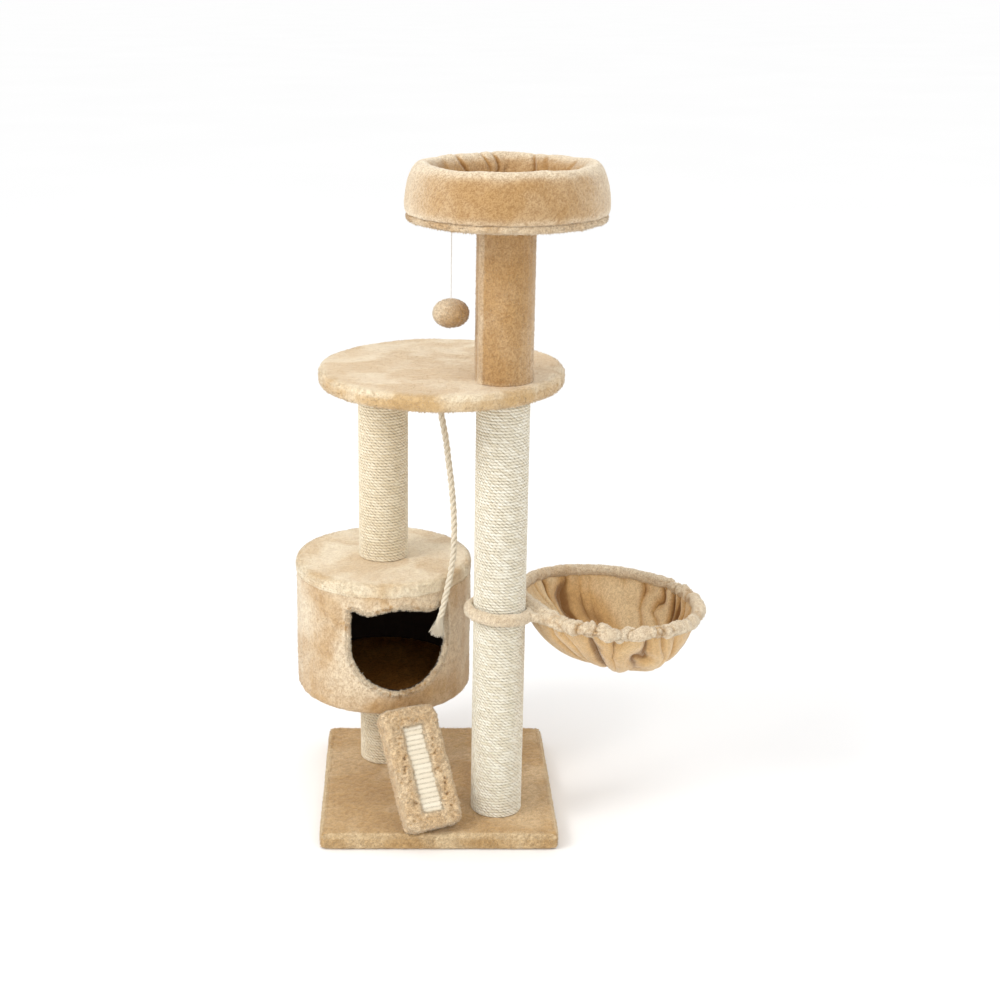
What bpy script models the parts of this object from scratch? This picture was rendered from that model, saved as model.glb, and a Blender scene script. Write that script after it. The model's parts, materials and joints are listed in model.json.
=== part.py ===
"""Cat tree: a square base, two rope-wound posts, a round condo with a cat-head door and a ramp,
a round platform, a plush post with a bolstered perch, a swivelling hammock basket, a rope and a ball.

Metres, +Z up. The origin is the centre of the base's underside, +X is to the basket's side and
-Y is the front, where the ramp and the door are.
"""

import math

import bmesh
import bpy
from mathutils import Matrix, Vector

GAP = 0.0003

# Base: a square particle board under a plush cover.
BASE_SIDE = 0.400
BASE_BOARD_TOP = 0.0252
BASE_TOP = 0.0295
BASE_PILE = 0.004
BASE_CORNER = 0.016
HEM_ABOVE_FLOOR = 0.001

# Posts: cardboard tubes wound with sisal rope, one plush one at the top.
RIGHT_POST = Vector((0.100, -0.103, 0.0))
LEFT_POST = Vector((-0.095, 0.092, 0.0))
TUBE_RADIUS = 0.0380
TUBE_WALL = 0.0030
ROPE_WRAP_RADIUS = 0.0435
PLUSH_POST_TUBE_RADIUS = 0.0420
PLUSH_POST_RADIUS = 0.0465
PLUG_THICKNESS = 0.016
PLUG_SIDES = 12
TUBE_SIDES = 16
WRAP_SIDES = 24

# Bolts and studs.
BOLT_RADIUS = 0.0040
BOLT_BORE = 0.0044
BOLT_HEAD_RADIUS = 0.0075
BOLT_HEAD_HEIGHT = 0.0050
BOLT_RECESS_RADIUS = 0.0110
BOLT_SIDES = 8
STUD_GRIP = 0.022

# Levels along the posts.
COLLAR_LEVEL = 0.3945
PLATFORM_TOP = 0.7894
PLATFORM_BOTTOM = 0.7594
PERCH_BOTTOM = 1.0436

# Platform.
PLATFORM_CENTRE = Vector((0.0025, 0.0, 0.0))
PLATFORM_RADIUS = 0.2033
PLATFORM_PILE = 0.0040
ROUND_SIDES = 32

# Condo.
CONDO_RADIUS = 0.1547
CONDO_BOTTOM = 0.1792
CONDO_TOP = 0.4223
CONDO_WALL_OUTER = 0.1493
CONDO_WALL_INNER = 0.1443
CONDO_FLOOR_BOTTOM = 0.1830
CONDO_FLOOR_TOP = 0.1980
CONDO_MAT_TOP = 0.2034
CONDO_ROOF_BOTTOM = 0.4012
CONDO_ROOF_BOARD_TOP = 0.4183
DOOR_AZIMUTH = math.radians(11.0)
DOOR_HALF_WIDTH = 0.083
DOOR_CENTRE_Z = 0.3077
EAR_TIP_Z = 0.3740
EAR_VALLEY = (0.050, 0.3675)
FOREHEAD_TOP_Z = 0.3790

# Perch.
PERCH_BOARD_RADIUS = 0.1480
PERCH_BOARD_BOTTOM = 1.0470
PERCH_BOARD_TOP = 1.0620
PERCH_COVER_RADIUS = 0.1524
PERCH_CUSHION_RADIUS = 0.1035
PERCH_CUSHION_TOP = 1.0765
# Bolster section as (radius, height), from its inner foot out, up and back over the top.
BOLSTER_SECTION = (
    (0.1060, 1.0623),
    (0.1500, 1.0623),
    (0.1565, 1.0720),
    (0.1584, 1.0890),
    (0.1545, 1.1090),
    (0.1450, 1.1280),
    (0.1330, 1.1355),
    (0.1210, 1.1335),
    (0.1120, 1.1220),
    (0.1060, 1.0950),
)

# Ramp, in its own frame: along its length from the foot, across its width, and out of its face.
RAMP_HEADING = math.radians(23.5)
RAMP_SLOPE = math.radians(52.5)
RAMP_FOOT = Vector((-0.0075, -0.1960))
RAMP_LENGTH = 0.207
RAMP_WIDTH = 0.100
RAMP_THICKNESS = 0.031
RAMP_BORDER = 0.0085
RAMP_BOARD_THICKNESS = 0.010
RAMP_CORNER = 0.016
SISAL_STRIP = (0.027, 0.173)
SISAL_WIDTH = 0.0365
SISAL_THICKNESS = 0.005
SCREW_RADIUS = 0.0025
SCREW_HEAD_RADIUS = 0.0045
SCREW_LENGTH = 0.066
SCREW_LEVEL = 0.1875
SCREW_SPREAD = 0.022

# Basket: two welded wire rings in one plane, drooping a little away from the post.
BASKET_AZIMUTH = math.radians(22.0)
BASKET_DROOP = math.radians(3.6)
BASKET_RING = 0.1544
COLLAR_RING = 0.0507
RING_DISTANCE = 0.2044
WIRE_RADIUS = 0.0030
RIM_RADIUS = 0.0090
COLLAR_HALF_WIDTH = 0.0062
COLLAR_HALF_HEIGHT = 0.0082
COLLAR_BORE = 0.0446
WEB_HALF_THICKNESS = 0.0048
BAG_THICKNESS = 0.0040
BAG_LEAN = 0.31
# Bag section as (radius, depth below the ring).
BAG_SECTION = (
    (0.1520, 0.0093),
    (0.1450, 0.0320),
    (0.1310, 0.0560),
    (0.1110, 0.0780),
    (0.0800, 0.0970),
    (0.0400, 0.1040),
)
BAG_DEPTH = 0.1050

# Hanging ball under the perch.
BALL_EYE = Vector((0.0150, -0.1030, PERCH_BOTTOM))
BALL_RADIUS = 0.0293
BALL_HALF_HEIGHT = 0.0224
BALL_CENTRE_Z = 0.8973
STRING_RADIUS = 0.0008

# Hanging rope under the platform.
ROPE_EYE = Vector((-0.0020, -0.0120, PLATFORM_BOTTOM))
ROPE_AXIS_AZIMUTH = math.radians(-51.2)
ROPE_RADIUS = 0.0055
ROPE_POINTS = 17
ROPE_ROUTE = (
    (-0.0020, -0.0120, 0.7303),
    (0.0020, -0.0140, 0.7120),
    (0.0105, -0.0180, 0.6680),
    (0.0158, -0.0210, 0.6270),
    (0.0210, -0.0240, 0.5850),
    (0.0245, -0.0270, 0.5430),
    (0.0258, -0.0300, 0.5000),
    (0.0240, -0.0330, 0.4600),
    (0.0180, -0.0370, 0.4230),
    (0.0095, -0.0430, 0.3850),
    (0.0035, -0.0480, 0.3600),
)
TASSEL_END = Vector((-0.0040, -0.0540, 0.3260))

# Looks: linear colour, roughness, metallic.
MATERIALS = {
    "plush": ((0.67, 0.47, 0.26), 0.95, 0.0),
    "ball_plush": ((0.58, 0.38, 0.20), 0.95, 0.0),
    "sisal": ((0.76, 0.70, 0.54), 0.90, 0.0),
    "cotton_rope": ((0.80, 0.74, 0.60), 0.90, 0.0),
    "string": ((0.88, 0.86, 0.80), 0.85, 0.0),
    "board": ((0.52, 0.38, 0.23), 0.80, 0.0),
    "cardboard": ((0.45, 0.33, 0.20), 0.90, 0.0),
    "steel": ((0.55, 0.55, 0.56), 0.35, 1.0),
}


def clear_scene():
    """Remove every object of the open scene."""
    for obj in list(bpy.data.objects):
        bpy.data.objects.remove(obj, do_unlink=True)


def make_material(name):
    """Principled material from the table of looks."""
    colour, roughness, metallic = MATERIALS[name]
    material = bpy.data.materials.new(name)
    material.use_nodes = True
    shader = material.node_tree.nodes["Principled BSDF"]
    shader.inputs["Base Color"].default_value = (*colour, 1.0)
    shader.inputs["Roughness"].default_value = roughness
    shader.inputs["Metallic"].default_value = metallic
    material.diffuse_color = (*colour, 1.0)
    return material


def material_named(name):
    """The material of that name, made when it is first asked for."""
    return bpy.data.materials.get(name) or make_material(name)


def add_object(name, bm, look, place=None, smooth_angle=40.0):
    """Finish a bmesh as an object with its normals facing out, placed by a matrix."""
    bmesh.ops.recalc_face_normals(bm, faces=bm.faces)
    mesh = bpy.data.meshes.new(name)
    bm.to_mesh(mesh)
    bm.free()
    mesh.materials.append(material_named(look))
    mesh.shade_smooth()
    mesh.set_sharp_from_angle(angle=math.radians(smooth_angle))
    obj = bpy.data.objects.new(name, mesh)
    bpy.context.scene.collection.objects.link(obj)
    if place is not None:
        obj.matrix_world = place
    return obj


def as_cutter(obj):
    """Keep a helper out of the model while booleans still read it."""
    obj.hide_render = True
    obj.display_type = "WIRE"
    return obj


def boolean(obj, other, operation="DIFFERENCE"):
    """Add an exact Boolean modifier."""
    modifier = obj.modifiers.new(other.name, "BOOLEAN")
    modifier.solver = "EXACT"
    modifier.operation = operation
    modifier.object = other
    return obj


def turned(name, section, look, place=None, sides=ROUND_SIDES):
    """Turn a closed (radius, height) section about Z; points on the axis become poles."""
    bm = bmesh.new()
    verts = [bm.verts.new((radius, 0.0, height)) for radius, height in section]
    edges = [bm.edges.new((a, b)) for a, b in zip(verts, verts[1:])]
    if section[0][0] > 0.0 or section[-1][0] > 0.0:
        edges.append(bm.edges.new((verts[-1], verts[0])))
    bmesh.ops.spin(
        bm, geom=verts + edges, cent=(0, 0, 0), axis=(0, 0, 1), angle=math.tau, steps=sides, use_merge=True
    )
    bmesh.ops.remove_doubles(bm, verts=bm.verts, dist=1e-7)
    bmesh.ops.dissolve_degenerate(bm, edges=bm.edges, dist=1e-7)
    return add_object(name, bm, look, place)


def at(point):
    """Placement matrix that only moves."""
    return Matrix.Translation(point)


def aligned(point, direction):
    """Placement matrix whose +Z runs along a direction."""
    z = Vector(direction).normalized()
    helper = Vector((1, 0, 0)) if abs(z.x) < 0.9 else Vector((0, 1, 0))
    y = z.cross(helper).normalized()
    x = y.cross(z)
    rotation = Matrix((x, y, z)).transposed().to_4x4()
    return Matrix.Translation(point) @ rotation


def arc(centre, radius, start, end, steps):
    """Points (a, b) on an arc, angles in degrees from +a towards +b."""
    angles = [math.radians(start + (end - start) * i / steps) for i in range(steps + 1)]
    return [(centre[0] + radius * math.cos(t), centre[1] + radius * math.sin(t)) for t in angles]


def ring_section(inner, outer, bottom, top):
    """Rectangular section of a ring."""
    return [(inner, bottom), (outer, bottom), (outer, top), (inner, top)]


def torus(name, ring, half_width, half_height, look, place=None, sides=24, around=8):
    """Ring of elliptical section."""
    section = [
        (ring + half_width * math.cos(math.tau * i / around), half_height * math.sin(math.tau * i / around))
        for i in range(around)
    ]
    return turned(name, section, look, place, sides)


def rounded_rectangle(half_x, half_y, corner, steps=3):
    """Outline of a rectangle with round corners, counter-clockwise."""
    outline = []
    for sign_x, sign_y, start in ((1, 1, 0), (-1, 1, 90), (-1, -1, 180), (1, -1, 270)):
        centre = (sign_x * (half_x - corner), sign_y * (half_y - corner))
        outline += arc(centre, corner, start, start + 90, steps)
    return outline


def prism(name, outline, bottom, top, look, place=None, edge_bevel=0.0):
    """Extrude a flat outline from one level to another, with an optional bevel on the top's rim."""
    bm = bmesh.new()
    face = bm.faces.new([bm.verts.new((x, y, bottom)) for x, y in outline])
    made = bmesh.ops.extrude_face_region(bm, geom=[face])["geom"]
    raised = [item for item in made if isinstance(item, bmesh.types.BMVert)]
    bmesh.ops.translate(bm, verts=raised, vec=(0, 0, top - bottom))
    if edge_bevel:
        lid = [f for f in made if isinstance(f, bmesh.types.BMFace)]
        rim = list({edge for f in lid for edge in f.edges})
        bmesh.ops.bevel(bm, geom=rim, offset=edge_bevel, segments=2, profile=0.6, affect="EDGES")
    return add_object(name, bm, look, place)


def rod(name, start, end, radius, look, sides=BOLT_SIDES):
    """Plain round bar from one point to another."""
    start, end = Vector(start), Vector(end)
    section = [(0.0, 0.0), (radius, 0.0), (radius, (end - start).length), (0.0, (end - start).length)]
    return turned(name, section, look, aligned(start, end - start), sides)


def headed_rod(name, start, direction, length, radius, head_radius, head_height, look="steel"):
    """Bolt or screw: its head starts at the given point and its shank runs along the direction."""
    section = [
        (0.0, 0.0),
        (head_radius - 0.0008, 0.0),
        (head_radius, 0.0010),
        (head_radius, head_height),
        (radius, head_height),
        (radius, length),
        (0.0, length),
    ]
    return turned(name, section, look, aligned(start, direction), BOLT_SIDES)


# ---------------------------------------------------------------- base


def build_base():
    """Board with two countersunk bolt holes, under a cover that wraps its top and sides."""
    half = BASE_SIDE / 2
    board_half = half - BASE_PILE
    board = prism(
        "base_board",
        rounded_rectangle(board_half - GAP, board_half - GAP, BASE_CORNER - BASE_PILE),
        0.0,
        BASE_BOARD_TOP,
        "board",
    )
    cover = prism(
        "base_cover", rounded_rectangle(half, half, BASE_CORNER), HEM_ABOVE_FLOOR, BASE_TOP, "plush",
        edge_bevel=0.004,
    )
    inside = prism(
        "cut_base_cover",
        rounded_rectangle(board_half, board_half, BASE_CORNER - BASE_PILE),
        -0.01,
        BASE_BOARD_TOP + GAP,
        "board",
    )
    boolean(cover, as_cutter(inside))
    for side, post in (("right", RIGHT_POST), ("left", LEFT_POST)):
        below = post + Vector((0, 0, -0.01))
        shank = rod(f"cut_base_{side}", below, post + Vector((0, 0, 0.05)), BOLT_BORE, "board")
        recess_top = post + Vector((0, 0, 0.0080))
        recess = rod(f"cut_base_recess_{side}", below, recess_top, BOLT_RECESS_RADIUS - 0.0005, "board")
        boolean(board, as_cutter(shank))
        boolean(board, as_cutter(recess))
        boolean(cover, shank)
        headed_rod(
            f"base_bolt_{side}", post + Vector((0, 0, 0.0025)), (0, 0, 1), 0.048,
            BOLT_RADIUS, BOLT_HEAD_RADIUS, BOLT_HEAD_HEIGHT,
        )


# ---------------------------------------------------------------- posts


def build_post(name, axis, bottom, top, tube_radius, skin_radius, skin, look):
    """Cardboard tube with a bored plug in each end and a skin around it."""
    place = at(axis)
    turned(
        f"{name}_tube", ring_section(tube_radius - TUBE_WALL, tube_radius, bottom, top), "cardboard", place,
        TUBE_SIDES,
    )
    skin_section = ring_section(tube_radius + 2 * GAP, skin_radius, bottom, top)
    turned(f"{name}_{skin}", skin_section, look, place, WRAP_SIDES)
    plug_radius = (tube_radius - TUBE_WALL) * math.cos(math.pi / TUBE_SIDES) - GAP
    for end, low in (("bottom", bottom), ("top", top - PLUG_THICKNESS)):
        section = ring_section(BOLT_BORE, plug_radius, low, low + PLUG_THICKNESS)
        turned(f"{name}_{end}_plug", section, "board", place, PLUG_SIDES)


def build_posts():
    """Right post in two lengths, left post below and above the condo, plush post under the perch."""
    foot = BASE_TOP + GAP
    under_platform = PLATFORM_BOTTOM - GAP
    sisal = (TUBE_RADIUS, ROPE_WRAP_RADIUS, "sisal", "sisal")
    build_post("right_lower_post", RIGHT_POST, foot, COLLAR_LEVEL - GAP / 2, *sisal)
    build_post("right_upper_post", RIGHT_POST, COLLAR_LEVEL + GAP / 2, under_platform, *sisal)
    build_post("left_lower_post", LEFT_POST, foot, CONDO_BOTTOM - GAP, *sisal)
    build_post("left_upper_post", LEFT_POST, CONDO_TOP + GAP, under_platform, *sisal)
    plush = (PLUSH_POST_TUBE_RADIUS, PLUSH_POST_RADIUS, "plush", "plush")
    build_post("perch_post", RIGHT_POST, PLATFORM_TOP + GAP, PERCH_BOTTOM - GAP, *plush)


def build_studs():
    """Threaded studs that join the posts to each other and to the platform."""
    spans = {
        "post_stud": (RIGHT_POST, COLLAR_LEVEL - STUD_GRIP, COLLAR_LEVEL + STUD_GRIP),
        "platform_stud_right": (RIGHT_POST, PLATFORM_BOTTOM - STUD_GRIP, PLATFORM_TOP + STUD_GRIP),
        "platform_stud_left": (LEFT_POST, PLATFORM_BOTTOM - STUD_GRIP, PLATFORM_TOP - PLATFORM_PILE - 0.002),
    }
    for name, (axis, low, high) in spans.items():
        rod(name, axis + Vector((0, 0, low)), axis + Vector((0, 0, high)), BOLT_RADIUS, "steel")


# ---------------------------------------------------------------- platform


def build_platform():
    """Round board inside a closed plush cover, bored for the studs."""
    low, high = PLATFORM_BOTTOM, PLATFORM_TOP
    board_low, board_high = low + PLATFORM_PILE, high - PLATFORM_PILE
    board_radius = PLATFORM_RADIUS - PLATFORM_PILE - GAP
    place = at(PLATFORM_CENTRE)
    board_section = [(0, board_low), (board_radius, board_low), (board_radius, board_high), (0, board_high)]
    board = turned("platform_board", board_section, "board", place)
    edge = 0.009
    cover_section = [(0.0, low)]
    cover_section += arc((PLATFORM_RADIUS - edge, low + edge), edge, -90, 0, 2)
    cover_section += arc((PLATFORM_RADIUS - edge, high - edge), edge, 0, 90, 2)
    cover_section += [(0.0, high)]
    cover = turned("platform_cover", cover_section, "plush", place)
    cavity_radius = board_radius + GAP
    blind_depth = 0.0015
    cavity_section = [
        (0.0, board_low - GAP),
        (cavity_radius, board_low - GAP),
        (cavity_radius, board_high + GAP),
        (0.0, board_high + GAP),
    ]
    cavity = as_cutter(turned("cut_platform_cavity", cavity_section, "board", place))
    ends = {"right": (RIGHT_POST, high + 0.01), "left": (LEFT_POST, board_high - blind_depth)}
    for side, (post, top) in ends.items():
        below = post + Vector((0, 0, low - 0.01))
        hole = rod(f"cut_platform_{side}", below, post + Vector((0, 0, top)), BOLT_BORE, "board")
        boolean(cavity, as_cutter(hole), "UNION")
        boolean(board, hole)
    boolean(cover, cavity)


# ---------------------------------------------------------------- condo


def door_outline():
    """Cat-head outline: a round chin and cheeks, an ear at each side and a domed forehead."""
    half = DOOR_HALF_WIDTH
    outline = arc((0.0, DOOR_CENTRE_Z), half, 180, 360, 12)
    outline += [(half - 0.002, EAR_TIP_Z - 0.004), (half - 0.006, EAR_TIP_Z)]
    outline += [(EAR_VALLEY[0] + 0.012, EAR_VALLEY[1] + 0.001), EAR_VALLEY]
    outline += [(0.024, FOREHEAD_TOP_Z - 0.004), (0.0, FOREHEAD_TOP_Z), (-0.024, FOREHEAD_TOP_Z - 0.004)]
    outline += [(-EAR_VALLEY[0], EAR_VALLEY[1]), (-EAR_VALLEY[0] - 0.012, EAR_VALLEY[1] + 0.001)]
    outline += [(-half + 0.006, EAR_TIP_Z), (-half + 0.002, EAR_TIP_Z - 0.004)]
    return outline


def door_cutter():
    """Prism of the door outline, running from inside the cabin out through the wall."""
    outward = Vector((math.sin(DOOR_AZIMUTH), -math.cos(DOOR_AZIMUTH), 0.0))
    across = Vector((math.cos(DOOR_AZIMUTH), math.sin(DOOR_AZIMUTH), 0.0))
    rotation = Matrix((across, Vector((0, 0, 1)), outward)).transposed().to_4x4()
    place = Matrix.Translation(LEFT_POST) @ rotation
    return as_cutter(prism("cut_door", door_outline(), 0.06, 0.20, "board", place))


def build_condo():
    """Round cabin: floor and roof boards, a bent wall with the door, plush covers and a mat."""
    place = at(LEFT_POST)
    door = door_cutter()
    floor_radius = CONDO_WALL_INNER - GAP
    recess_floor = CONDO_FLOOR_TOP - BOLT_HEAD_HEIGHT - 0.0010
    floor_section = [
        (BOLT_BORE, CONDO_FLOOR_BOTTOM),
        (floor_radius, CONDO_FLOOR_BOTTOM),
        (floor_radius, CONDO_FLOOR_TOP),
        (BOLT_RECESS_RADIUS, CONDO_FLOOR_TOP),
        (BOLT_RECESS_RADIUS, recess_floor),
        (BOLT_BORE, recess_floor),
    ]
    turned("condo_floor_board", floor_section, "board", place)
    wall = turned(
        "condo_wall",
        ring_section(CONDO_WALL_INNER, CONDO_WALL_OUTER, CONDO_FLOOR_BOTTOM, CONDO_ROOF_BOTTOM - 2 * GAP),
        "cardboard",
        place,
    )
    boolean(wall, door)
    corner = 0.012
    cover_section = [(BOLT_BORE, CONDO_BOTTOM)]
    cover_section += arc((CONDO_RADIUS - corner, CONDO_BOTTOM + corner), corner, -90, 0, 3)
    cover_section += [
        (CONDO_RADIUS, CONDO_ROOF_BOTTOM - 2 * GAP),
        (CONDO_WALL_OUTER + GAP, CONDO_ROOF_BOTTOM - 2 * GAP),
        (CONDO_WALL_OUTER + GAP, CONDO_FLOOR_BOTTOM - GAP),
        (BOLT_BORE, CONDO_FLOOR_BOTTOM - GAP),
    ]
    cover = turned("condo_cover", cover_section, "plush", place)
    boolean(cover, door)
    turned(
        "condo_roof_board",
        ring_section(BOLT_BORE, CONDO_WALL_OUTER - 2 * GAP, CONDO_ROOF_BOTTOM, CONDO_ROOF_BOARD_TOP),
        "board",
        place,
    )
    edge = 0.008
    lid_low = CONDO_ROOF_BOARD_TOP + GAP
    roof_section = [(BOLT_BORE, lid_low), (CONDO_WALL_OUTER - GAP, lid_low)]
    roof_section += [(CONDO_WALL_OUTER - GAP, CONDO_ROOF_BOTTOM), (CONDO_RADIUS, CONDO_ROOF_BOTTOM)]
    roof_section += arc((CONDO_RADIUS - edge, CONDO_TOP - edge), edge, 0, 90, 3)
    roof_section += [(BOLT_BORE, CONDO_TOP)]
    turned("condo_roof_cover", roof_section, "plush", place)
    mat_low = CONDO_FLOOR_TOP + GAP
    mat_section = [
        (0.0, mat_low),
        (0.1415, mat_low),
        (0.1430, mat_low + 0.0015),
        (0.1415, CONDO_MAT_TOP),
        (0.0, CONDO_MAT_TOP),
    ]
    turned("condo_floor_mat", mat_section, "plush", place)
    headed_rod(
        "condo_floor_bolt", LEFT_POST + Vector((0, 0, CONDO_FLOOR_TOP - 0.0005)), (0, 0, -1), 0.045,
        BOLT_RADIUS, BOLT_HEAD_RADIUS, BOLT_HEAD_HEIGHT,
    )
    headed_rod(
        "condo_roof_bolt", LEFT_POST + Vector((0, 0, CONDO_ROOF_BOTTOM - GAP - BOLT_HEAD_HEIGHT)), (0, 0, 1),
        0.048, BOLT_RADIUS, BOLT_HEAD_RADIUS, BOLT_HEAD_HEIGHT,
    )


# ---------------------------------------------------------------- perch


def build_perch():
    """Round board in a plush tray, a stuffed bolster ring around its edge and a thin cushion."""
    place = at(RIGHT_POST)
    recess = PERCH_BOARD_TOP - BOLT_HEAD_HEIGHT - 0.0012
    board_section = [
        (BOLT_BORE, PERCH_BOARD_BOTTOM),
        (PERCH_BOARD_RADIUS, PERCH_BOARD_BOTTOM),
        (PERCH_BOARD_RADIUS, PERCH_BOARD_TOP),
        (BOLT_RECESS_RADIUS, PERCH_BOARD_TOP),
        (BOLT_RECESS_RADIUS, recess),
        (BOLT_BORE, recess),
    ]
    turned("perch_board", board_section, "board", place)
    corner = 0.004
    tray_section = [(BOLT_BORE, PERCH_BOTTOM)]
    tray_section += arc((PERCH_COVER_RADIUS - corner, PERCH_BOTTOM + corner), corner, -90, 0, 2)
    tray_section += [
        (PERCH_COVER_RADIUS, PERCH_BOARD_TOP),
        (PERCH_BOARD_RADIUS + GAP, PERCH_BOARD_TOP),
        (PERCH_BOARD_RADIUS + GAP, PERCH_BOARD_BOTTOM - GAP),
        (BOLT_BORE, PERCH_BOARD_BOTTOM - GAP),
    ]
    turned("perch_board_cover", tray_section, "plush", place)
    turned("perch_bolster", list(BOLSTER_SECTION), "plush", place)
    cushion_low = PERCH_BOARD_TOP + GAP
    cushion_section = [
        (0.0, cushion_low),
        (PERCH_CUSHION_RADIUS - 0.003, cushion_low),
        (PERCH_CUSHION_RADIUS, cushion_low + 0.005),
        (PERCH_CUSHION_RADIUS - 0.004, PERCH_CUSHION_TOP - 0.003),
        (0.060, PERCH_CUSHION_TOP),
        (0.0, PERCH_CUSHION_TOP),
    ]
    turned("perch_cushion", cushion_section, "plush", place)
    headed_rod(
        "perch_bolt", RIGHT_POST + Vector((0, 0, PERCH_BOARD_TOP - 0.0006)), (0, 0, -1), 0.046,
        BOLT_RADIUS, BOLT_HEAD_RADIUS, BOLT_HEAD_HEIGHT,
    )


# ---------------------------------------------------------------- ramp


def ramp_axes():
    """Unit vectors up the slope, across it and out of its face, with the level heading downhill."""
    heading = Vector((math.sin(RAMP_HEADING), -math.cos(RAMP_HEADING), 0.0))
    up_slope = -heading * math.cos(RAMP_SLOPE) + Vector((0, 0, math.sin(RAMP_SLOPE)))
    across = Vector((math.cos(RAMP_HEADING), math.sin(RAMP_HEADING), 0.0))
    out = heading * math.sin(RAMP_SLOPE) + Vector((0, 0, math.cos(RAMP_SLOPE)))
    return heading, up_slope, across, out


def ramp_place():
    """Ramp frame: X across, Y up the slope, Z out of the face, origin mid-thickness at the foot."""
    _, up_slope, across, out = ramp_axes()
    foot_z = BASE_TOP + GAP + RAMP_THICKNESS / 2 * math.cos(RAMP_SLOPE)
    rotation = Matrix((across, up_slope, out)).transposed().to_4x4()
    return Matrix.Translation((RAMP_FOOT.x, RAMP_FOOT.y, foot_z)) @ rotation


def moved(outline, offset):
    """Outline moved along its second axis."""
    return [(x, y + offset) for x, y in outline]


def build_ramp():
    """Board in a padded plush cover whose window shows a strip of ribbed sisal matting."""
    place = ramp_place()
    half_width, middle = RAMP_WIDTH / 2, RAMP_LENGTH / 2
    half_thickness = RAMP_THICKNESS / 2
    outer = moved(rounded_rectangle(half_width, middle, RAMP_CORNER), middle)
    cover = prism("ramp_cover", outer, -half_thickness, half_thickness, "plush", place, edge_bevel=0.007)
    board_half = half_width - RAMP_BORDER
    board_middle = middle - RAMP_BORDER
    board_low = -RAMP_BOARD_THICKNESS
    board_outline = moved(rounded_rectangle(board_half - GAP, board_middle - GAP, 0.008), middle)
    board = prism("ramp_board", board_outline, board_low, 0.0, "board", place)
    pocket = moved(rounded_rectangle(board_half, board_middle, 0.008), middle)
    boolean(cover, as_cutter(prism("cut_ramp_pocket", pocket, board_low - GAP, GAP, "board", place)))
    strip_middle = (SISAL_STRIP[0] + SISAL_STRIP[1]) / 2
    strip_half = (SISAL_STRIP[1] - SISAL_STRIP[0]) / 2
    window = moved(rounded_rectangle(SISAL_WIDTH / 2 + GAP, strip_half + GAP, 0.002, 1), strip_middle)
    boolean(cover, as_cutter(prism("cut_ramp_window", window, 0.0, 0.03, "board", place)))
    strip = moved(rounded_rectangle(SISAL_WIDTH / 2, strip_half, 0.002, 1), strip_middle)
    prism("ramp_sisal", strip, GAP, SISAL_THICKNESS + GAP, "sisal", place)
    return cover, board


def build_ramp_screws(cover, board):
    """Two level screws from the ramp's board through the condo's wall into its floor board."""
    heading, up_slope, across, _ = ramp_axes()
    foot_z = ramp_place().translation.z
    along = (SCREW_LEVEL - foot_z) / math.sin(RAMP_SLOPE)
    inward = -heading
    condo_pieces = ("condo_cover", "condo_wall", "condo_floor_board")
    crossed = [cover, board] + [bpy.data.objects[name] for name in condo_pieces]
    for side, offset in (("left", -SCREW_SPREAD), ("right", SCREW_SPREAD)):
        start = Vector((RAMP_FOOT.x, RAMP_FOOT.y, foot_z)) + up_slope * along + across * offset
        head_start = start - inward * 0.0015
        headed_rod(
            f"ramp_screw_{side}", head_start, inward, SCREW_LENGTH, SCREW_RADIUS, SCREW_HEAD_RADIUS, 0.0030,
        )
        clearance = 0.0004
        shank = rod(
            f"cut_screw_{side}", head_start, head_start + inward * (SCREW_LENGTH + 0.001),
            SCREW_RADIUS + clearance, "board",
        )
        head = rod(
            f"cut_screw_head_{side}", head_start - inward * 0.0010, head_start + inward * 0.0034,
            SCREW_HEAD_RADIUS + clearance, "board",
        )
        boolean(as_cutter(shank), as_cutter(head), "UNION")
        for obj in crossed:
            boolean(obj, shank)


# ---------------------------------------------------------------- basket


def basket_place(distance):
    """Frame in the basket's plane, its X away from the post, at a distance along the arm."""
    arm = Vector((math.cos(BASKET_AZIMUTH), math.sin(BASKET_AZIMUTH), 0.0))
    along = arm * math.cos(BASKET_DROOP) - Vector((0, 0, math.sin(BASKET_DROOP)))
    across = Vector((-math.sin(BASKET_AZIMUTH), math.cos(BASKET_AZIMUTH), 0.0))
    up = along.cross(across)
    rotation = Matrix((along, across, up)).transposed().to_4x4()
    origin = RIGHT_POST + Vector((0, 0, COLLAR_LEVEL)) + along * distance
    return Matrix.Translation(origin) @ rotation


def welded_rings(name, extra, look):
    """Both wire rings as one solid, grown by an extra radius."""
    radius = WIRE_RADIUS + extra
    big = torus(name, BASKET_RING, radius, radius, look, basket_place(RING_DISTANCE), 32, 6)
    small = torus(f"cut_{name}_collar", COLLAR_RING, radius, radius, look, basket_place(0.0), 20, 6)
    boolean(big, as_cutter(small), "UNION")
    return big


def web_outline(side):
    """Gusset between the collar and the rim, on one side of the arm."""
    angle = math.radians(58.0)
    lateral = 0.056
    rim_x = RING_DISTANCE - math.sqrt(BASKET_RING**2 - lateral**2)
    points = [
        (COLLAR_RING - 0.004, 0.004),
        (COLLAR_RING * math.cos(angle / 2), COLLAR_RING * math.sin(angle / 2)),
        (COLLAR_RING * math.cos(angle), COLLAR_RING * math.sin(angle)),
        (rim_x, lateral),
        (RING_DISTANCE - BASKET_RING + 0.002, 0.012),
    ]
    return [(x, side * y) for x, y in (points if side < 0 else points[::-1])]


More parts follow.
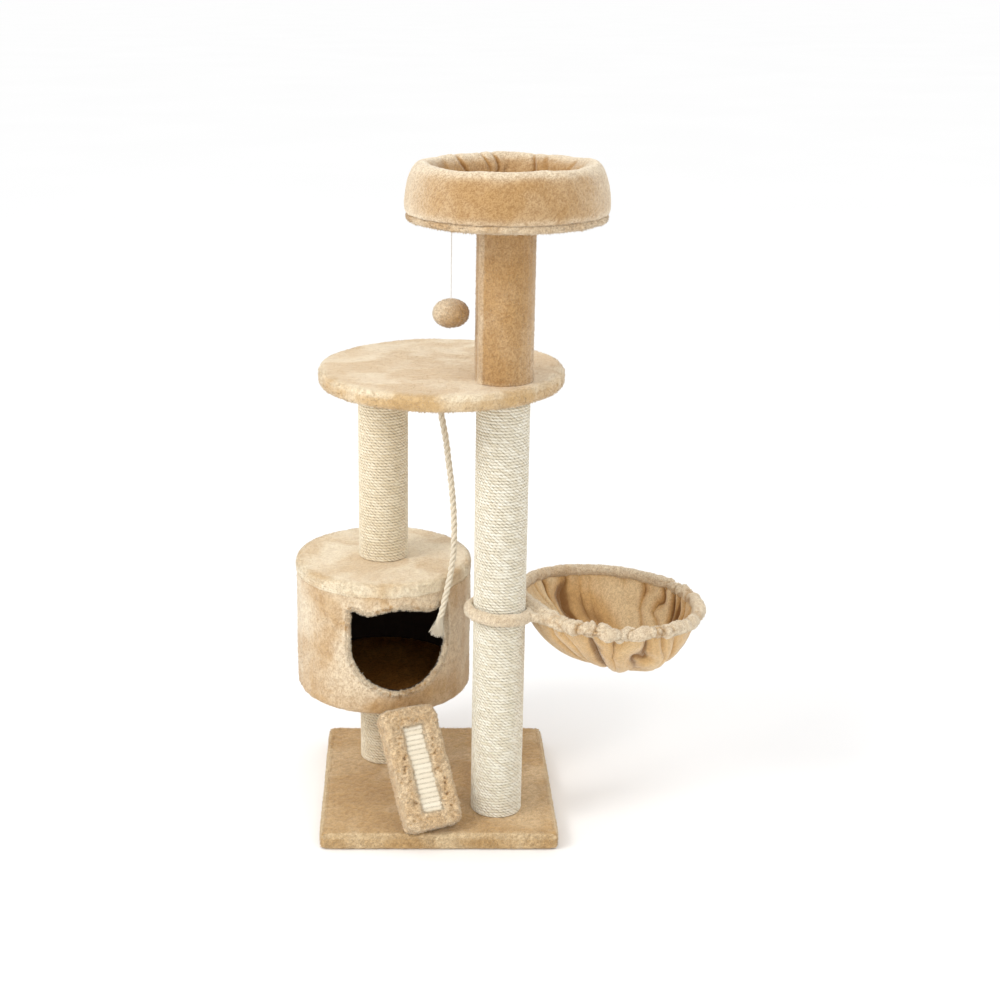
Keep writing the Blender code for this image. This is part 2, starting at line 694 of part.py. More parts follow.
def build_basket():
    """Wire frame, plush rim and collar sleeves with a gusset, and the sagging bag."""
    welded_rings("basket_wire", 0.0, "steel")
    wire_space = as_cutter(welded_rings("cut_basket_wire", GAP, "steel"))
    bore_place = at(RIGHT_POST)
    bore_section = [(0.0, 0.30), (COLLAR_BORE, 0.30), (COLLAR_BORE, 0.50), (0.0, 0.50)]
    bore = as_cutter(turned("cut_collar_bore", bore_section, "board", bore_place))
    rim_place = basket_place(RING_DISTANCE)
    rim = torus("basket_rim_sleeve", BASKET_RING, RIM_RADIUS, RIM_RADIUS, "plush", rim_place, 32, 10)
    boolean(rim, wire_space)
    boolean(rim, bore)
    grown = RIM_RADIUS + 2 * GAP
    rim_space = as_cutter(torus("cut_basket_rim", BASKET_RING, grown, grown, "plush", rim_place, 32, 10))
    collar_place = basket_place(0.0)
    collar = torus(
        "basket_collar_sleeve", COLLAR_RING, COLLAR_HALF_WIDTH, COLLAR_HALF_HEIGHT, "plush", collar_place,
    )
    for side in (-1, 1):
        thickness = (-WEB_HALF_THICKNESS, WEB_HALF_THICKNESS)
        web = prism(f"cut_web_{side + 1}", web_outline(side), *thickness, "plush", collar_place)
        boolean(collar, as_cutter(web), "UNION")
    boolean(collar, rim_space)
    boolean(collar, wire_space)
    boolean(collar, bore)
    build_bag(rim_place)


def build_bag(place):
    """Turned bowl that leans a little away from the post, open at the top."""
    outer = [(radius, -depth) for radius, depth in BAG_SECTION] + [(0.0, -BAG_DEPTH)]
    inner = [(radius - BAG_THICKNESS, -depth + BAG_THICKNESS * 0.6) for radius, depth in BAG_SECTION[1:]]
    inner = [(0.0, -BAG_DEPTH + BAG_THICKNESS)] + inner[::-1]
    inner += [(BAG_SECTION[0][0] - BAG_THICKNESS, -BAG_SECTION[0][1])]
    bag = turned("basket_bag", outer + inner, "plush", place)
    lean = Matrix.Identity(4)
    lean[0][2] = -BAG_LEAN
    shift = Matrix.Translation((-BAG_LEAN * BAG_SECTION[0][1], 0, 0))
    bag.data.transform(shift @ lean)
    return bag


# ---------------------------------------------------------------- hanging toys


def eye_plate(name, top_centre, wire_direction, ring, wire):
    """Round plate with a wire ring below it, whose lowest wire runs along a direction."""
    plate_low, plate_high = -0.0023, -GAP
    section = [(0.0, plate_low), (ring + 0.0015, plate_low), (ring + 0.0015, plate_high), (0.0, plate_high)]
    plate = turned(name, section, "steel", at(top_centre), 12)
    centre = Vector(top_centre) + Vector((0, 0, plate_low - ring))
    normal = Vector((0, 0, 1)).cross(wire_direction)
    loop = torus(f"cut_{name}", ring, wire, wire, "steel", aligned(centre, normal), 16, 6)
    boolean(plate, as_cutter(loop), "UNION")
    return centre.z - ring


def hung_ring(name, hook, wire_radius, ring, wire, normal, look):
    """Ring that hangs on a wire at a hook point; returns the height of its own lowest wire."""
    centre = Vector(hook) + Vector((0, 0, wire_radius + GAP - ring + wire))
    torus(name, ring, wire, wire, look, aligned(centre, normal), 16, 6)
    return centre.z - ring


def smooth_route(points, count):
    """Evenly spaced points on a Catmull-Rom curve through the route's points."""
    route = [Vector(p) for p in points]
    ends = [2 * route[0] - route[1]] + route + [2 * route[-1] - route[-2]]
    fine = []
    steps = 24
    for a, b, c, d in zip(ends, ends[1:], ends[2:], ends[3:]):
        for i in range(steps):
            t = i / steps
            spread = (c - a) * t + (2 * a - 5 * b + 4 * c - d) * t**2 + (3 * b - a - 3 * c + d) * t**3
            fine.append(b + 0.5 * spread)
    fine.append(route[-1])
    lengths = [0.0]
    for a, b in zip(fine, fine[1:]):
        lengths.append(lengths[-1] + (b - a).length)
    even = []
    for i in range(count):
        target = lengths[-1] * i / (count - 1)
        k = next(j for j in range(1, len(lengths)) if lengths[j] >= target - 1e-9)
        share = (target - lengths[k - 1]) / (lengths[k] - lengths[k - 1])
        even.append(fine[k - 1].lerp(fine[k], share))
    return even


def cord(name, points, radius, look):
    """Round cord along points, with closed ends."""
    curve = bpy.data.curves.new(name, "CURVE")
    curve.dimensions = "3D"
    curve.bevel_depth = radius
    curve.bevel_resolution = 2
    curve.use_fill_caps = True
    spline = curve.splines.new("POLY")
    spline.points.add(len(points) - 1)
    for target, point in zip(spline.points, points):
        target.co = (*point, 1.0)
    curve.materials.append(material_named(look))
    obj = bpy.data.objects.new(name, curve)
    bpy.context.scene.collection.objects.link(obj)
    return obj


def build_ball():
    """Ball on a string: eye under the perch, split ring, string loop, string and ball."""
    eye_low = eye_plate("ball_eye", BALL_EYE, Vector((0, 1, 0)), 0.0050, 0.0010)
    hook = Vector((BALL_EYE.x, BALL_EYE.y, eye_low))
    ring_low = hung_ring("string_ring", hook, 0.0010, 0.0045, 0.0008, (0, 1, 0), "steel")
    hook.z = ring_low
    loop_low = hung_ring("string_loop", hook, 0.0008, 0.0040, STRING_RADIUS, (1, 0, 0), "string")
    top = loop_low - STRING_RADIUS - GAP
    bottom = BALL_CENTRE_Z + BALL_HALF_HEIGHT + GAP
    count = 21
    points = [Vector((BALL_EYE.x, BALL_EYE.y, top + (bottom - top) * i / (count - 1))) for i in range(count)]
    cord("ball_string", points, STRING_RADIUS, "string")
    steps = 8
    angles = [math.pi * i / steps for i in range(1, steps)]
    section = [(0.0, BALL_HALF_HEIGHT)]
    section += [(BALL_RADIUS * math.sin(t), BALL_HALF_HEIGHT * math.cos(t)) for t in angles]
    section += [(0.0, -BALL_HALF_HEIGHT)]
    turned("toy_ball", section, "ball_plush", at((BALL_EYE.x, BALL_EYE.y, BALL_CENTRE_Z)), 16)


def build_rope():
    """Twisted rope: eye under the platform, cord loop, rope and its frayed end."""
    axis = Vector((math.cos(ROPE_AXIS_AZIMUTH), math.sin(ROPE_AXIS_AZIMUTH), 0.0))
    eye_low = eye_plate("rope_eye", ROPE_EYE, axis, 0.0075, 0.0013)
    hook = Vector((ROPE_EYE.x, ROPE_EYE.y, eye_low))
    hung_ring("rope_loop", hook, 0.0013, 0.0065, 0.0020, axis, "cotton_rope")
    points = smooth_route(ROPE_ROUTE, ROPE_POINTS)
    cord("play_rope", points, ROPE_RADIUS, "cotton_rope")
    direction = (TASSEL_END - points[-1]).normalized()
    start = points[-1] + direction * GAP
    length = (TASSEL_END - start).length
    section = [
        (0.0, 0.0),
        (0.0052, 0.0),
        (0.0062, length * 0.3),
        (0.0085, length * 0.7),
        (0.0105, length),
        (0.0, length),
    ]
    turned("rope_tassel", section, "cotton_rope", aligned(start, direction), 12)


def main():
    clear_scene()
    build_base()
    build_posts()
    build_studs()
    build_platform()
    build_condo()
    build_perch()
    build_ramp_screws(*build_ramp())
    build_basket()
    build_ball()
    build_rope()


main()
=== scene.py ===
"""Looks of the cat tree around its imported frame: plush, wound sisal, twisted rope and gathered basket."""

import json
import math

import bmesh
import bpy
import numpy as np
from mathutils import Matrix, Vector
from mathutils.bvhtree import BVHTree


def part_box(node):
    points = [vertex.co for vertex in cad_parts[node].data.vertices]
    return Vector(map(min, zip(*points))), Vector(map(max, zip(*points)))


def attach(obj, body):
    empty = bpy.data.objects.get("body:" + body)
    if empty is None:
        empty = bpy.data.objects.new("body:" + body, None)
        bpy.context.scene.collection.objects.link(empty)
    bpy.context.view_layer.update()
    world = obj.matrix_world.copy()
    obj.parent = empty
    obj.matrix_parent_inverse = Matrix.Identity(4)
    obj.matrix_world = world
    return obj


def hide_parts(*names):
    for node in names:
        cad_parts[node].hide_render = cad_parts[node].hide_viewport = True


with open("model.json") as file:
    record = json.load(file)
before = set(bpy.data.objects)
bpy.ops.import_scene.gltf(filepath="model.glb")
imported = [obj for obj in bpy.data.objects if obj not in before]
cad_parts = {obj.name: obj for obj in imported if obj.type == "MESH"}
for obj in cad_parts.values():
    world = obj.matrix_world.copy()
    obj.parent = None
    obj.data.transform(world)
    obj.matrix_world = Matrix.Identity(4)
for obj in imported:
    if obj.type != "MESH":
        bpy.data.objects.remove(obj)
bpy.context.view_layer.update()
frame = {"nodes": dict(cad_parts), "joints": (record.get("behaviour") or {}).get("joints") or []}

TREE = "tree"
BASKET = "basket"
ROPE_BODY = "hanging_rope"
BALL_BODY = "hanging_ball"

# Gap between the frame's meshes.
GAP = 0.0003

# Usual tuft of the pile: its length and width, its lean, its root's depth and how far roots stray.
TUFT_LENGTH = 0.0022
TUFT_WIDTH = 0.0014
TUFT_LEAN = 0.45
TUFT_ROOT = 0.0004
TUFT_STRAY = 0.0012

# Camera: height and distance of a person standing in front, looking slightly down.
CAMERA_PLACE = (-0.0566, -2.6067, 1.4201)
CAMERA_PITCH = 0.3082
CAMERA_LENS = 58.327
CAMERA_SENSOR = 36.0
CAMERA_SHIFT = (0.0947, -0.0206)

# Axes of the round boards, and the rounding of the base's corners.
PLATFORM_AXIS = (0.0025, 0.0)
CONDO_AXIS = (-0.095, 0.092)
PERCH_AXIS = (0.100, -0.103)
BASE_ROUND = 0.016

# Door of the condo as in the frame, the right half of its cat's head, and the lip around it.
DOOR_AZIMUTH = math.radians(11.0)
DOOR_HALF_WIDTH = 0.083
DOOR_CENTRE_Z = 0.3077
DOOR_HEAD = (
    (0.081, 0.3700),
    (0.077, 0.3740),
    (0.062, 0.3685),
    (0.050, 0.3675),
    (0.024, 0.3750),
    (0.000, 0.3790),
)
LIP_WIDTH = 0.0120
LIP_HEIGHT = 0.0026

# Overlapped edge of the upper post's sleeve: its direction from the post's axis.
SLEEVE_SEAM = math.radians(-90.0 - 58.0)

# Ramp frame, and the matting in its window.
RAMP_HEADING = math.radians(23.5)
RAMP_SLOPE = math.radians(52.5)
RAMP_FOOT = (-0.0075, -0.1960)
RAMP_THICKNESS = 0.031
STRIP_SPAN = (0.027, 0.173)
STRIP_WIDTH = 0.0365
STRIP_TOP = 0.0124
STRIP_RIB = 0.0083
STRIP_UNDER = 0.0012
STRIP_NET = (260, 64)

# Section of the perch's bolster as (radius, height), its creases as (degrees, width, depth) and its net.
BOLSTER_SECTION = (
    (0.1060, 1.0635),
    (0.1460, 1.0635),
    (0.1515, 1.0600),
    (0.1530, 1.0550),
    (0.1555, 1.0540),
    (0.1578, 1.0580),
    (0.1588, 1.0680),
    (0.1580, 1.0800),
    (0.1560, 1.0930),
    (0.1525, 1.1060),
    (0.1475, 1.1180),
    (0.1405, 1.1280),
    (0.1310, 1.1330),
    (0.1220, 1.1310),
    (0.1145, 1.1220),
    (0.1095, 1.1080),
    (0.1070, 1.0900),
    (0.1060, 1.0750),
)
BOLSTER_CREASES = (
    (124, 2.4, 5.0),
    (104, 1.8, 3.5),
    (97, 2.0, 4.5),
    (66, 1.8, 5.5),
    (54, 2.6, 2.5),
    (145, 3.5, 2.0),
    (172, 4.0, 1.5),
    (205, 4.0, 1.2),
    (-12, 3.5, 1.5),
    (26, 3.5, 2.0),
)
BOLSTER_NET = (38, 152)
BOLSTER_HEM = 1.0600

# Cloth under pressure: frames that it is left to swell.
CLOTH_FRAMES = 20

# Basket frame, the section of its bag as (radius, depth below the ring), and its gathers as
# (degrees, width, strength).
BASKET_AZIMUTH = math.radians(22.0)
BASKET_DROOP = math.radians(3.6)
RING_DISTANCE = 0.2044
BASKET_RING = 0.1544
WIRE_BORE = 0.0036
RIM_RADIUS = 0.0090
RIM_NET = (900, 40)
BORE_NET = (128, 10)
BAG_SECTION = (
    (0.1545, 0.0030),
    (0.1500, 0.0150),
    (0.1430, 0.0340),
    (0.1300, 0.0580),
    (0.1100, 0.0810),
    (0.0800, 0.1000),
    (0.0400, 0.1085),
    (0.0060, 0.1095),
)
BAG_NET = (76, 560)
BAG_THICKNESS = 0.0034
BAG_LEAN = 0.31
BASKET_GATHERS = (
    (-85.0, 0.85, 1.0),
    (38.0, 0.42, 1.0),
    (128.0, 0.30, 0.8),
)

# Collar around the post: its bore, and where its shoulders start.
COLLAR_BORE = 0.0449
COLLAR_SHOULDER = 0.0535

# Hanging rope: the frame's own route, its winding and its frayed end.
ROPE_RADIUS = 0.0055
ROPE_LAY = 0.036
ROPE_ROUTE = (
    (-0.0020, -0.0120, 0.7303),
    (0.0020, -0.0140, 0.7120),
    (0.0105, -0.0180, 0.6680),
    (0.0158, -0.0210, 0.6270),
    (0.0210, -0.0240, 0.5850),
    (0.0245, -0.0270, 0.5430),
    (0.0258, -0.0300, 0.5000),
    (0.0240, -0.0330, 0.4600),
    (0.0180, -0.0370, 0.4230),
    (0.0095, -0.0430, 0.3850),
    (0.0035, -0.0480, 0.3600),
)
ROPE_LENGTH = 0.380
LOOP_CORD_RADIUS = 0.0020
TASSEL_END = (-0.0040, -0.0540, 0.3260)
TASSEL_YARNS = 210
YARN_RADIUS = 0.00052

# Sisal winding: pitch and net of the turns, and the strands of the wound rope.
WIND_PITCH = 0.0052
WIND_STEPS = 124
WIND_EXTRA = 0.75
WIND_SECTION = (-155, -95, -58, -28, 0, 28, 58, 95, 155)
STRAND_STEP = 0.0068

# Ball string.
STRING_RADIUS = 0.0008


# ---------------------------------------------------------------- arrays and meshes


LATTICE = np.random.default_rng(11).random(8192)


def lump_noise(points, size, seed):
    """Smooth noise from -1 to 1 whose lumps are about as wide as the given size."""
    place = points / size + 31.7 * seed
    base = np.floor(place).astype(np.int64)
    share = place - base
    share = share * share * (3.0 - 2.0 * share)
    total = np.zeros(len(points))
    for corner in np.ndindex(2, 2, 2):
        cell = base + corner
        key = (cell[:, 0] * 73856093) ^ (cell[:, 1] * 19349663) ^ (cell[:, 2] * 83492791)
        weight = np.prod(np.where(corner, share, 1.0 - share), axis=1)
        total += weight * LATTICE[key & 8191]
    return 2.0 * total - 1.0


def circle(count):
    """Evenly spaced angles of one turn."""
    return np.linspace(0.0, math.tau, count, endpoint=False)


def placed(points, place):
    """Points carried by a matrix."""
    place = np.array(place)
    return points @ place[:3, :3].T + place[:3, 3]


def node_box(node):
    """Lowest and highest corner of a CAD node's box, and the middle of its plan."""
    low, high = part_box(node)
    return low, high, np.array([(low.x + high.x) / 2, (low.y + high.y) / 2])


def from_axis(points, middle):
    """Flat offset of each point from a vertical axis, and its distance from it."""
    offset = points[:, :2] - middle
    return offset, np.linalg.norm(offset, axis=1)


def grid_quads(rows, columns, wrap_rows=False, wrap_columns=True, first=0):
    """Quads of a grid of points stored row by row."""
    r = np.arange(rows if wrap_rows else rows - 1)[:, None]
    c = np.arange(columns if wrap_columns else columns - 1)[None, :]
    next_r, next_c = (r + 1) % rows, (c + 1) % columns
    corners = (r * columns + c, r * columns + next_c, next_r * columns + next_c, next_r * columns + c)
    return first + np.stack(np.broadcast_arrays(*corners), -1).reshape(-1, 4)


def mesh_from(name, points, quads, larger=()):
    """Mesh from an array of points, an array of quads and a few larger faces, facing out."""
    points = np.asarray(points, float)
    corners = np.concatenate([np.asarray(quads).ravel()] + [np.asarray(face) for face in larger])
    sizes = np.array([4] * len(quads) + [len(face) for face in larger])
    starts = np.concatenate([[0], np.cumsum(sizes)[:-1]])
    mesh = bpy.data.meshes.new(name)
    mesh.vertices.add(len(points))
    mesh.vertices.foreach_set("co", points.astype(np.float32).ravel())
    mesh.loops.add(len(corners))
    mesh.loops.foreach_set("vertex_index", corners.astype(np.int32))
    mesh.polygons.add(len(sizes))
    mesh.polygons.foreach_set("loop_start", starts.astype(np.int32))
    mesh.update(calc_edges=True)
    mesh.validate()
    if signed_volume(mesh) < 0:
        mesh.flip_normals()
    return mesh


def signed_volume(mesh):
    """Volume of a closed mesh, negative where it is inside out."""
    mesh.calc_loop_triangles()
    points = points_of(mesh)
    triangles = np.empty(len(mesh.loop_triangles) * 3, np.int32)
    mesh.loop_triangles.foreach_get("vertices", triangles)
    return float(np.linalg.det(points[triangles.reshape(-1, 3)]).sum() / 6.0)


def points_of(mesh):
    """The mesh's points as an array."""
    points = np.empty(len(mesh.vertices) * 3)
    mesh.vertices.foreach_get("co", points)
    return points.reshape(-1, 3)


def set_points(mesh, points):
    """Move the mesh's points."""
    mesh.vertices.foreach_set("co", points.astype(np.float32).ravel())
    mesh.update()


def normals_of(mesh):
    """The mesh's point normals as an array."""
    normals = np.empty(len(mesh.vertices) * 3, np.float32)
    mesh.vertex_normals.foreach_get("vector", normals)
    return normals.reshape(-1, 3).astype(float)


def edges_of(mesh):
    """The mesh's edges as an array of point pairs."""
    edges = np.empty(len(mesh.edges) * 2, np.int32)
    mesh.edges.foreach_get("vertices", edges)
    return edges.reshape(-1, 2)


def smoothed(mesh, points, free, rounds):
    """Points pulled half way to their neighbours' mean each round, where they are free to move."""
    edges = edges_of(mesh)
    degree = np.bincount(edges.ravel(), minlength=len(points))[:, None]
    for _ in range(rounds):
        total = np.zeros_like(points)
        for axis in range(3):
            total[:, axis] += np.bincount(edges[:, 0], points[edges[:, 1], axis], len(points))
            total[:, axis] += np.bincount(edges[:, 1], points[edges[:, 0], axis], len(points))
        points = points + (total / degree - points) * 0.5 * free[:, None]
    return points


def save_attribute(mesh, name, values):
    """Store one number for each point, for the materials to read."""
    attribute = mesh.attributes.get(name) or mesh.attributes.new(name, "FLOAT", "POINT")
    attribute.data.foreach_set("value", np.asarray(values, np.float32))


def with_tufts(mesh, count, length, seed, mask):
    """The mesh with short tufts of pile rooted in its surface, drawn where the mask is high."""
    draw = np.random.default_rng(seed)
    points, normals = points_of(mesh), normals_of(mesh)
    weight = np.clip(mask, 0.0, None)
    roots = draw.choice(len(points), count, p=weight / weight.sum())
    root, normal = points[roots], normals[roots]
    side = np.cross(normal, draw.normal(size=(count, 3)))
    side /= np.linalg.norm(side, axis=1)[:, None]
    other = np.cross(normal, side)
    root = root + side * draw.uniform(-TUFT_STRAY, TUFT_STRAY, (count, 1)) - normal * TUFT_ROOT
    reach = length * draw.uniform(0.55, 1.1, (count, 1))
    tip = root + (normal + side * TUFT_LEAN * draw.normal(size=(count, 1)) - (0.0, 0.0, 0.15)) * reach
    base = [root + (side * math.cos(t) + other * math.sin(t)) * TUFT_WIDTH / 2 for t in (0.0, 2.1, 4.2)]
    spikes = np.stack([*base, tip], axis=1).reshape(-1, 3)
    first = 4 * np.arange(count)[:, None]
    faces = np.concatenate([first + np.array(turn) for turn in ((0, 1, 3), (1, 2, 3), (2, 0, 3), (0, 2, 1))])
    bm = bmesh.new()
    bm.from_mesh(mesh)
    tufts = bpy.data.meshes.new("tufts")
    tufts.from_pydata(spikes.tolist(), [], faces.tolist())
    for name in [a.name for a in mesh.attributes if a.domain == "POINT" and a.data_type == "FLOAT"]:
        values = np.empty(len(points), np.float32)
        mesh.attributes[name].data.foreach_get("value", values)
        values = np.repeat(values[roots], 4)
        # Each tuft's root gets a low pile and its tip a high one, so the plush material paints shade at the
        # roots.
        if name == "pile":
            values = np.tile([0.4, 0.4, 0.4, 0.9], count)
        save_attribute(tufts, name, values)
    bm.from_mesh(tufts)
    bm.to_mesh(mesh)
    bm.free()
    bpy.data.meshes.remove(tufts)
    return mesh


def stand_in(node, name, mesh, material, body):
    """Show a mesh as a piece that rides on a body in the place of a CAD node."""
    obj = bpy.data.objects.new(name, mesh)
    bpy.context.scene.collection.objects.link(obj)
    mesh.materials.clear()
    mesh.materials.append(material)
    mesh.shade_smooth()
    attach(obj, body)
    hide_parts(node)
    return obj


def smooth_route(points, count):
    """Evenly spaced points on a Catmull-Rom curve through the given points."""
    route = [np.array(p) for p in points]
    ends = [2 * route[0] - route[1]] + route + [2 * route[-1] - route[-2]]
    fine = []
    for a, b, c, d in zip(ends, ends[1:], ends[2:], ends[3:]):
        for t in np.linspace(0.0, 1.0, 24, endpoint=False):
            bend = (c - a) * t + (2 * a - 5 * b + 4 * c - d) * t**2 + (3 * b - a - 3 * c + d) * t**3
            fine.append(b + 0.5 * bend)
    fine = np.array(fine + [route[-1]])
    lengths = np.concatenate([[0.0], np.cumsum(np.linalg.norm(np.diff(fine, axis=0), axis=1))])
    even = np.linspace(0.0, lengths[-1], count)
    return np.stack([np.interp(even, lengths, fine[:, axis]) for axis in range(3)], axis=1)


def path_frames(path):
    """Two unit vectors across the path at each point, turned as little as possible along it."""
    along = np.gradient(path, axis=0)
    along /= np.linalg.norm(along, axis=1)[:, None]
    side = np.cross(along[0], (0.0, 1.0, 0.2))
    sides = []
    for direction in along:
        side = side - direction * np.dot(side, direction)
        side = side / np.linalg.norm(side)
        sides.append(side)
    sides = np.array(sides)
    return sides, np.cross(along, sides)


def tube_points(path, radii, angles):
    """Rings of points around a path: radii and angles hold one row for each point of it."""
    side, other = path_frames(path)
    across = np.cos(angles)[..., None] * side[:, None] + np.sin(angles)[..., None] * other[:, None]
    return (path[:, None] + across * radii[..., None]).reshape(-1, 3)


def tube_mesh(name, path, radii, angles):
    """Closed tube around a path."""
    rows, sides = radii.shape
    ends = [np.arange(sides), (rows - 1) * sides + np.arange(sides)[::-1]]
    return mesh_from(name, tube_points(path, radii, angles), grid_quads(rows, sides), ends)


# ---------------------------------------------------------------- materials


class Nodes:
    """A material's node tree, written from its shader back."""

    def __init__(self, name):
        self.material = bpy.data.materials.new(name)
        self.material.use_nodes = True
        self.tree = self.material.node_tree
        self.shader = self.tree.nodes["Principled BSDF"]
        self.coords = self.add("ShaderNodeTexCoord").outputs["Object"]

    def add(self, kind, inputs=(), **settings):
        """New node with its settings, and its inputs by name or number."""
        node = self.tree.nodes.new(kind)
        for key, value in settings.items():
            setattr(node, key, value)
        for key, value in dict(inputs).items():
            self.put(node.inputs[key], value)
        return node

    def put(self, socket, value):
        """Link a socket to another one, or set its value."""
        if isinstance(value, bpy.types.NodeSocket):
            self.tree.links.new(value, socket)
        else:
            socket.default_value = value

    def noise(self, size, detail=2.0, distortion=0.0, stretch=None):
        """Noise whose lumps are about as wide as the given size, from 0 to 1."""
        coords = self.coords
        if stretch is not None:
            coords = self.add("ShaderNodeMapping", {"Vector": coords, "Scale": stretch}).outputs[0]
        values = {"Vector": coords, "Scale": 1.0 / size, "Detail": detail, "Distortion": distortion}
        return self.add("ShaderNodeTexNoise", values).outputs["Fac"]

    def attribute(self, name):
        """A number stored for each point."""
        return self.add("ShaderNodeAttribute", attribute_name=name).outputs["Fac"]

    def math(self, operation, a, b=0.0):
        """Arithmetic on two values."""
        return self.add("ShaderNodeMath", {0: a, 1: b}, operation=operation).outputs[0]

    def ramp(self, value, low, high, to_low=0.0, to_high=1.0):
        """Value spread from one range to another, held at its ends."""
        inputs = {"Value": value, "From Min": low, "From Max": high, "To Min": to_low, "To Max": to_high}
        return self.add("ShaderNodeMapRange", inputs, interpolation_type="SMOOTHSTEP").outputs[0]

    def mix(self, factor, a, b):
        """Colour between two colours."""
        return self.add("ShaderNodeMix", {"Factor": factor, 6: a, 7: b}, data_type="RGBA").outputs[2]

    def bump(self, height, distance, strength=1.0):
        """Relief of the given height in metres on the shader's normal."""
        inputs = {"Height": height, "Distance": distance, "Strength": strength}
        self.put(self.shader.inputs["Normal"], self.add("ShaderNodeBump", inputs).outputs[0])

    def finish(self, colour, roughness, **constants):
        """Set the shader's colour, roughness and constant sockets."""
        self.put(self.shader.inputs["Base Color"], colour)
        self.put(self.shader.inputs["Roughness"], roughness)
        for key, value in constants.items():
            self.shader.inputs[key.replace("_", " ")].default_value = value
        return self.material


def rgb(red, green, blue):
    """Linear colour from display values of 0 to 255."""
    return (*[((c / 255 + 0.055) / 1.055) ** 2.4 if c > 10 else c / 3294.6 for c in (red, green, blue)], 1.0)


def plush_material(name, deep, middle, pale, blotch=0.06, brushed=0.5, sheen=1.0, grain=0.55):
    """Short brushed pile, pale where it lies the other way; darker where the pile sits low, which is painted
    shade between its tufts, and the pale attribute adds each piece's painted light and shade.
    """
    deep, middle, pale = rgb(*deep), rgb(*middle), rgb(*pale)
    nodes = Nodes(name)
    blotches = nodes.ramp(nodes.noise(blotch, 2.5, 0.6), 0.34, 0.68)
    tufts = nodes.noise(0.0021, 2.0, 0.4)
    fine = nodes.noise(0.0011, 1.0)
    # Grain of the pile from noise, plus its stored height: low pile is painted darker, as shade between the
    # tufts.
    tips = nodes.math("ADD", nodes.math("MULTIPLY", nodes.attribute("pile"), 0.30), tufts)
    tips = nodes.math("ADD", tips, nodes.math("MULTIPLY", nodes.math("SUBTRACT", fine, 0.5), 0.8))
    # Brushed blotches plus the pale attribute, which holds each piece's painted highlights and painted shade;
    # below zero it paints shade in the deep colour.
    nap_and_painted_light = nodes.math("ADD", nodes.math("MULTIPLY", blotches, brushed), nodes.attribute("pale"))
    colour = nodes.mix(nodes.ramp(nap_and_painted_light, -0.1, 1.1), middle, pale)
    colour = nodes.mix(nodes.ramp(nap_and_painted_light, -1.0, 0.0, 0.8, 0.0), colour, deep)
    colour = nodes.mix(nodes.ramp(tips, 0.22, 0.76, grain, 0.0), colour, deep)
    height = nodes.math("ADD", nodes.math("MULTIPLY", tufts, 0.5), nodes.math("MULTIPLY", fine, 0.5))
    nodes.bump(height, 0.0019, 0.75)
    return nodes.finish(
        colour, nodes.ramp(tips, 0.2, 0.8, 1.0, 0.85), Sheen_Weight=sheen, Sheen_Roughness=0.45,
        Sheen_Tint=(1.0, 0.92, 0.78, 1.0), Specular_IOR_Level=0.1,
    )


def sisal_material(name, dark_fibre_and_groove_shade, middle, pale, narrow=0.30, bleach=0.8):
    """Twisted plant fibre: painted shade in the grooves between its strands, dark fibres, and each strand
    bleached differently.
    """
    dark_fibre_and_groove_shade, middle, pale = rgb(*dark_fibre_and_groove_shade), rgb(*middle), rgb(*pale)
    nodes = Nodes(name)
    turn = nodes.attribute("strand")
    strand = nodes.add("ShaderNodeTexWhiteNoise", {"W": nodes.math("FLOOR", turn)}, noise_dimensions="1D")
    arch = nodes.math("ABSOLUTE", nodes.math("SUBTRACT", nodes.math("FRACT", turn), 0.5))
    groove = nodes.ramp(arch, narrow, 0.50)
    patchy = nodes.ramp(nodes.noise(0.0045, 2.0), 0.38, 0.60)
    fibres = nodes.noise(0.0010, 2.0, 0.5)
    colour = nodes.mix(nodes.math("MULTIPLY", strand.outputs["Value"], bleach), pale, middle)
    # Painted shade in the grooves between the strands, patchy along them.
    colour = nodes.mix(nodes.math("MULTIPLY", groove, nodes.math("MULTIPLY", patchy, 0.85)), colour, dark_fibre_and_groove_shade)
    colour = nodes.mix(nodes.ramp(fibres, 0.60, 0.74, 0.0, 0.40), colour, dark_fibre_and_groove_shade)
    height = nodes.math("SUBTRACT", nodes.math("MULTIPLY", fibres, 0.4), nodes.math("MULTIPLY", groove, 0.8))
    nodes.bump(height, 0.0012, 0.8)
    rough = nodes.ramp(fibres, 0.2, 0.8, 0.75, 0.98)
    return nodes.finish(colour, rough, Sheen_Weight=0.2, Sheen_Roughness=0.5)


def board_material(name):
    """Particle board: flakes of wood pressed in random directions."""
    nodes = Nodes(name)
    flakes = nodes.add("ShaderNodeTexVoronoi", {"Vector": nodes.coords, "Scale": 420.0}).outputs["Color"]
    grey = nodes.add("ShaderNodeRGBToBW", {"Color": flakes}).outputs[0]
    dust = nodes.noise(0.0016, 4.0)
    colour = nodes.mix(nodes.ramp(grey, 0.2, 0.8), rgb(176, 140, 96), rgb(206, 174, 128))
    colour = nodes.mix(nodes.ramp(dust, 0.50, 0.72, 0.0, 0.6), colour, rgb(134, 98, 62))
    nodes.bump(nodes.math("ADD", grey, dust), 0.0004, 0.5)
    return nodes.finish(colour, nodes.ramp(dust, 0.3, 0.7, 0.75, 0.92))


def cardboard_material(name, dark, pale):
    """Wound paper tube: soft spiral bands and short fibres."""
    dark, pale = rgb(*dark), rgb(*pale)
    nodes = Nodes(name)
    fibres = nodes.noise(0.0022, 4.0, 0.4, (1.0, 1.0, 4.0))
    bands = nodes.noise(0.030, 2.0, 0.2, (1.0, 1.0, 2.5))
    colour = nodes.mix(nodes.ramp(fibres, 0.35, 0.68), dark, pale)
    colour = nodes.mix(nodes.ramp(bands, 0.45, 0.6, 0.0, 0.25), colour, dark)
    nodes.bump(fibres, 0.0003, 0.5)
    return nodes.finish(colour, nodes.ramp(fibres, 0.3, 0.7, 0.80, 0.95))


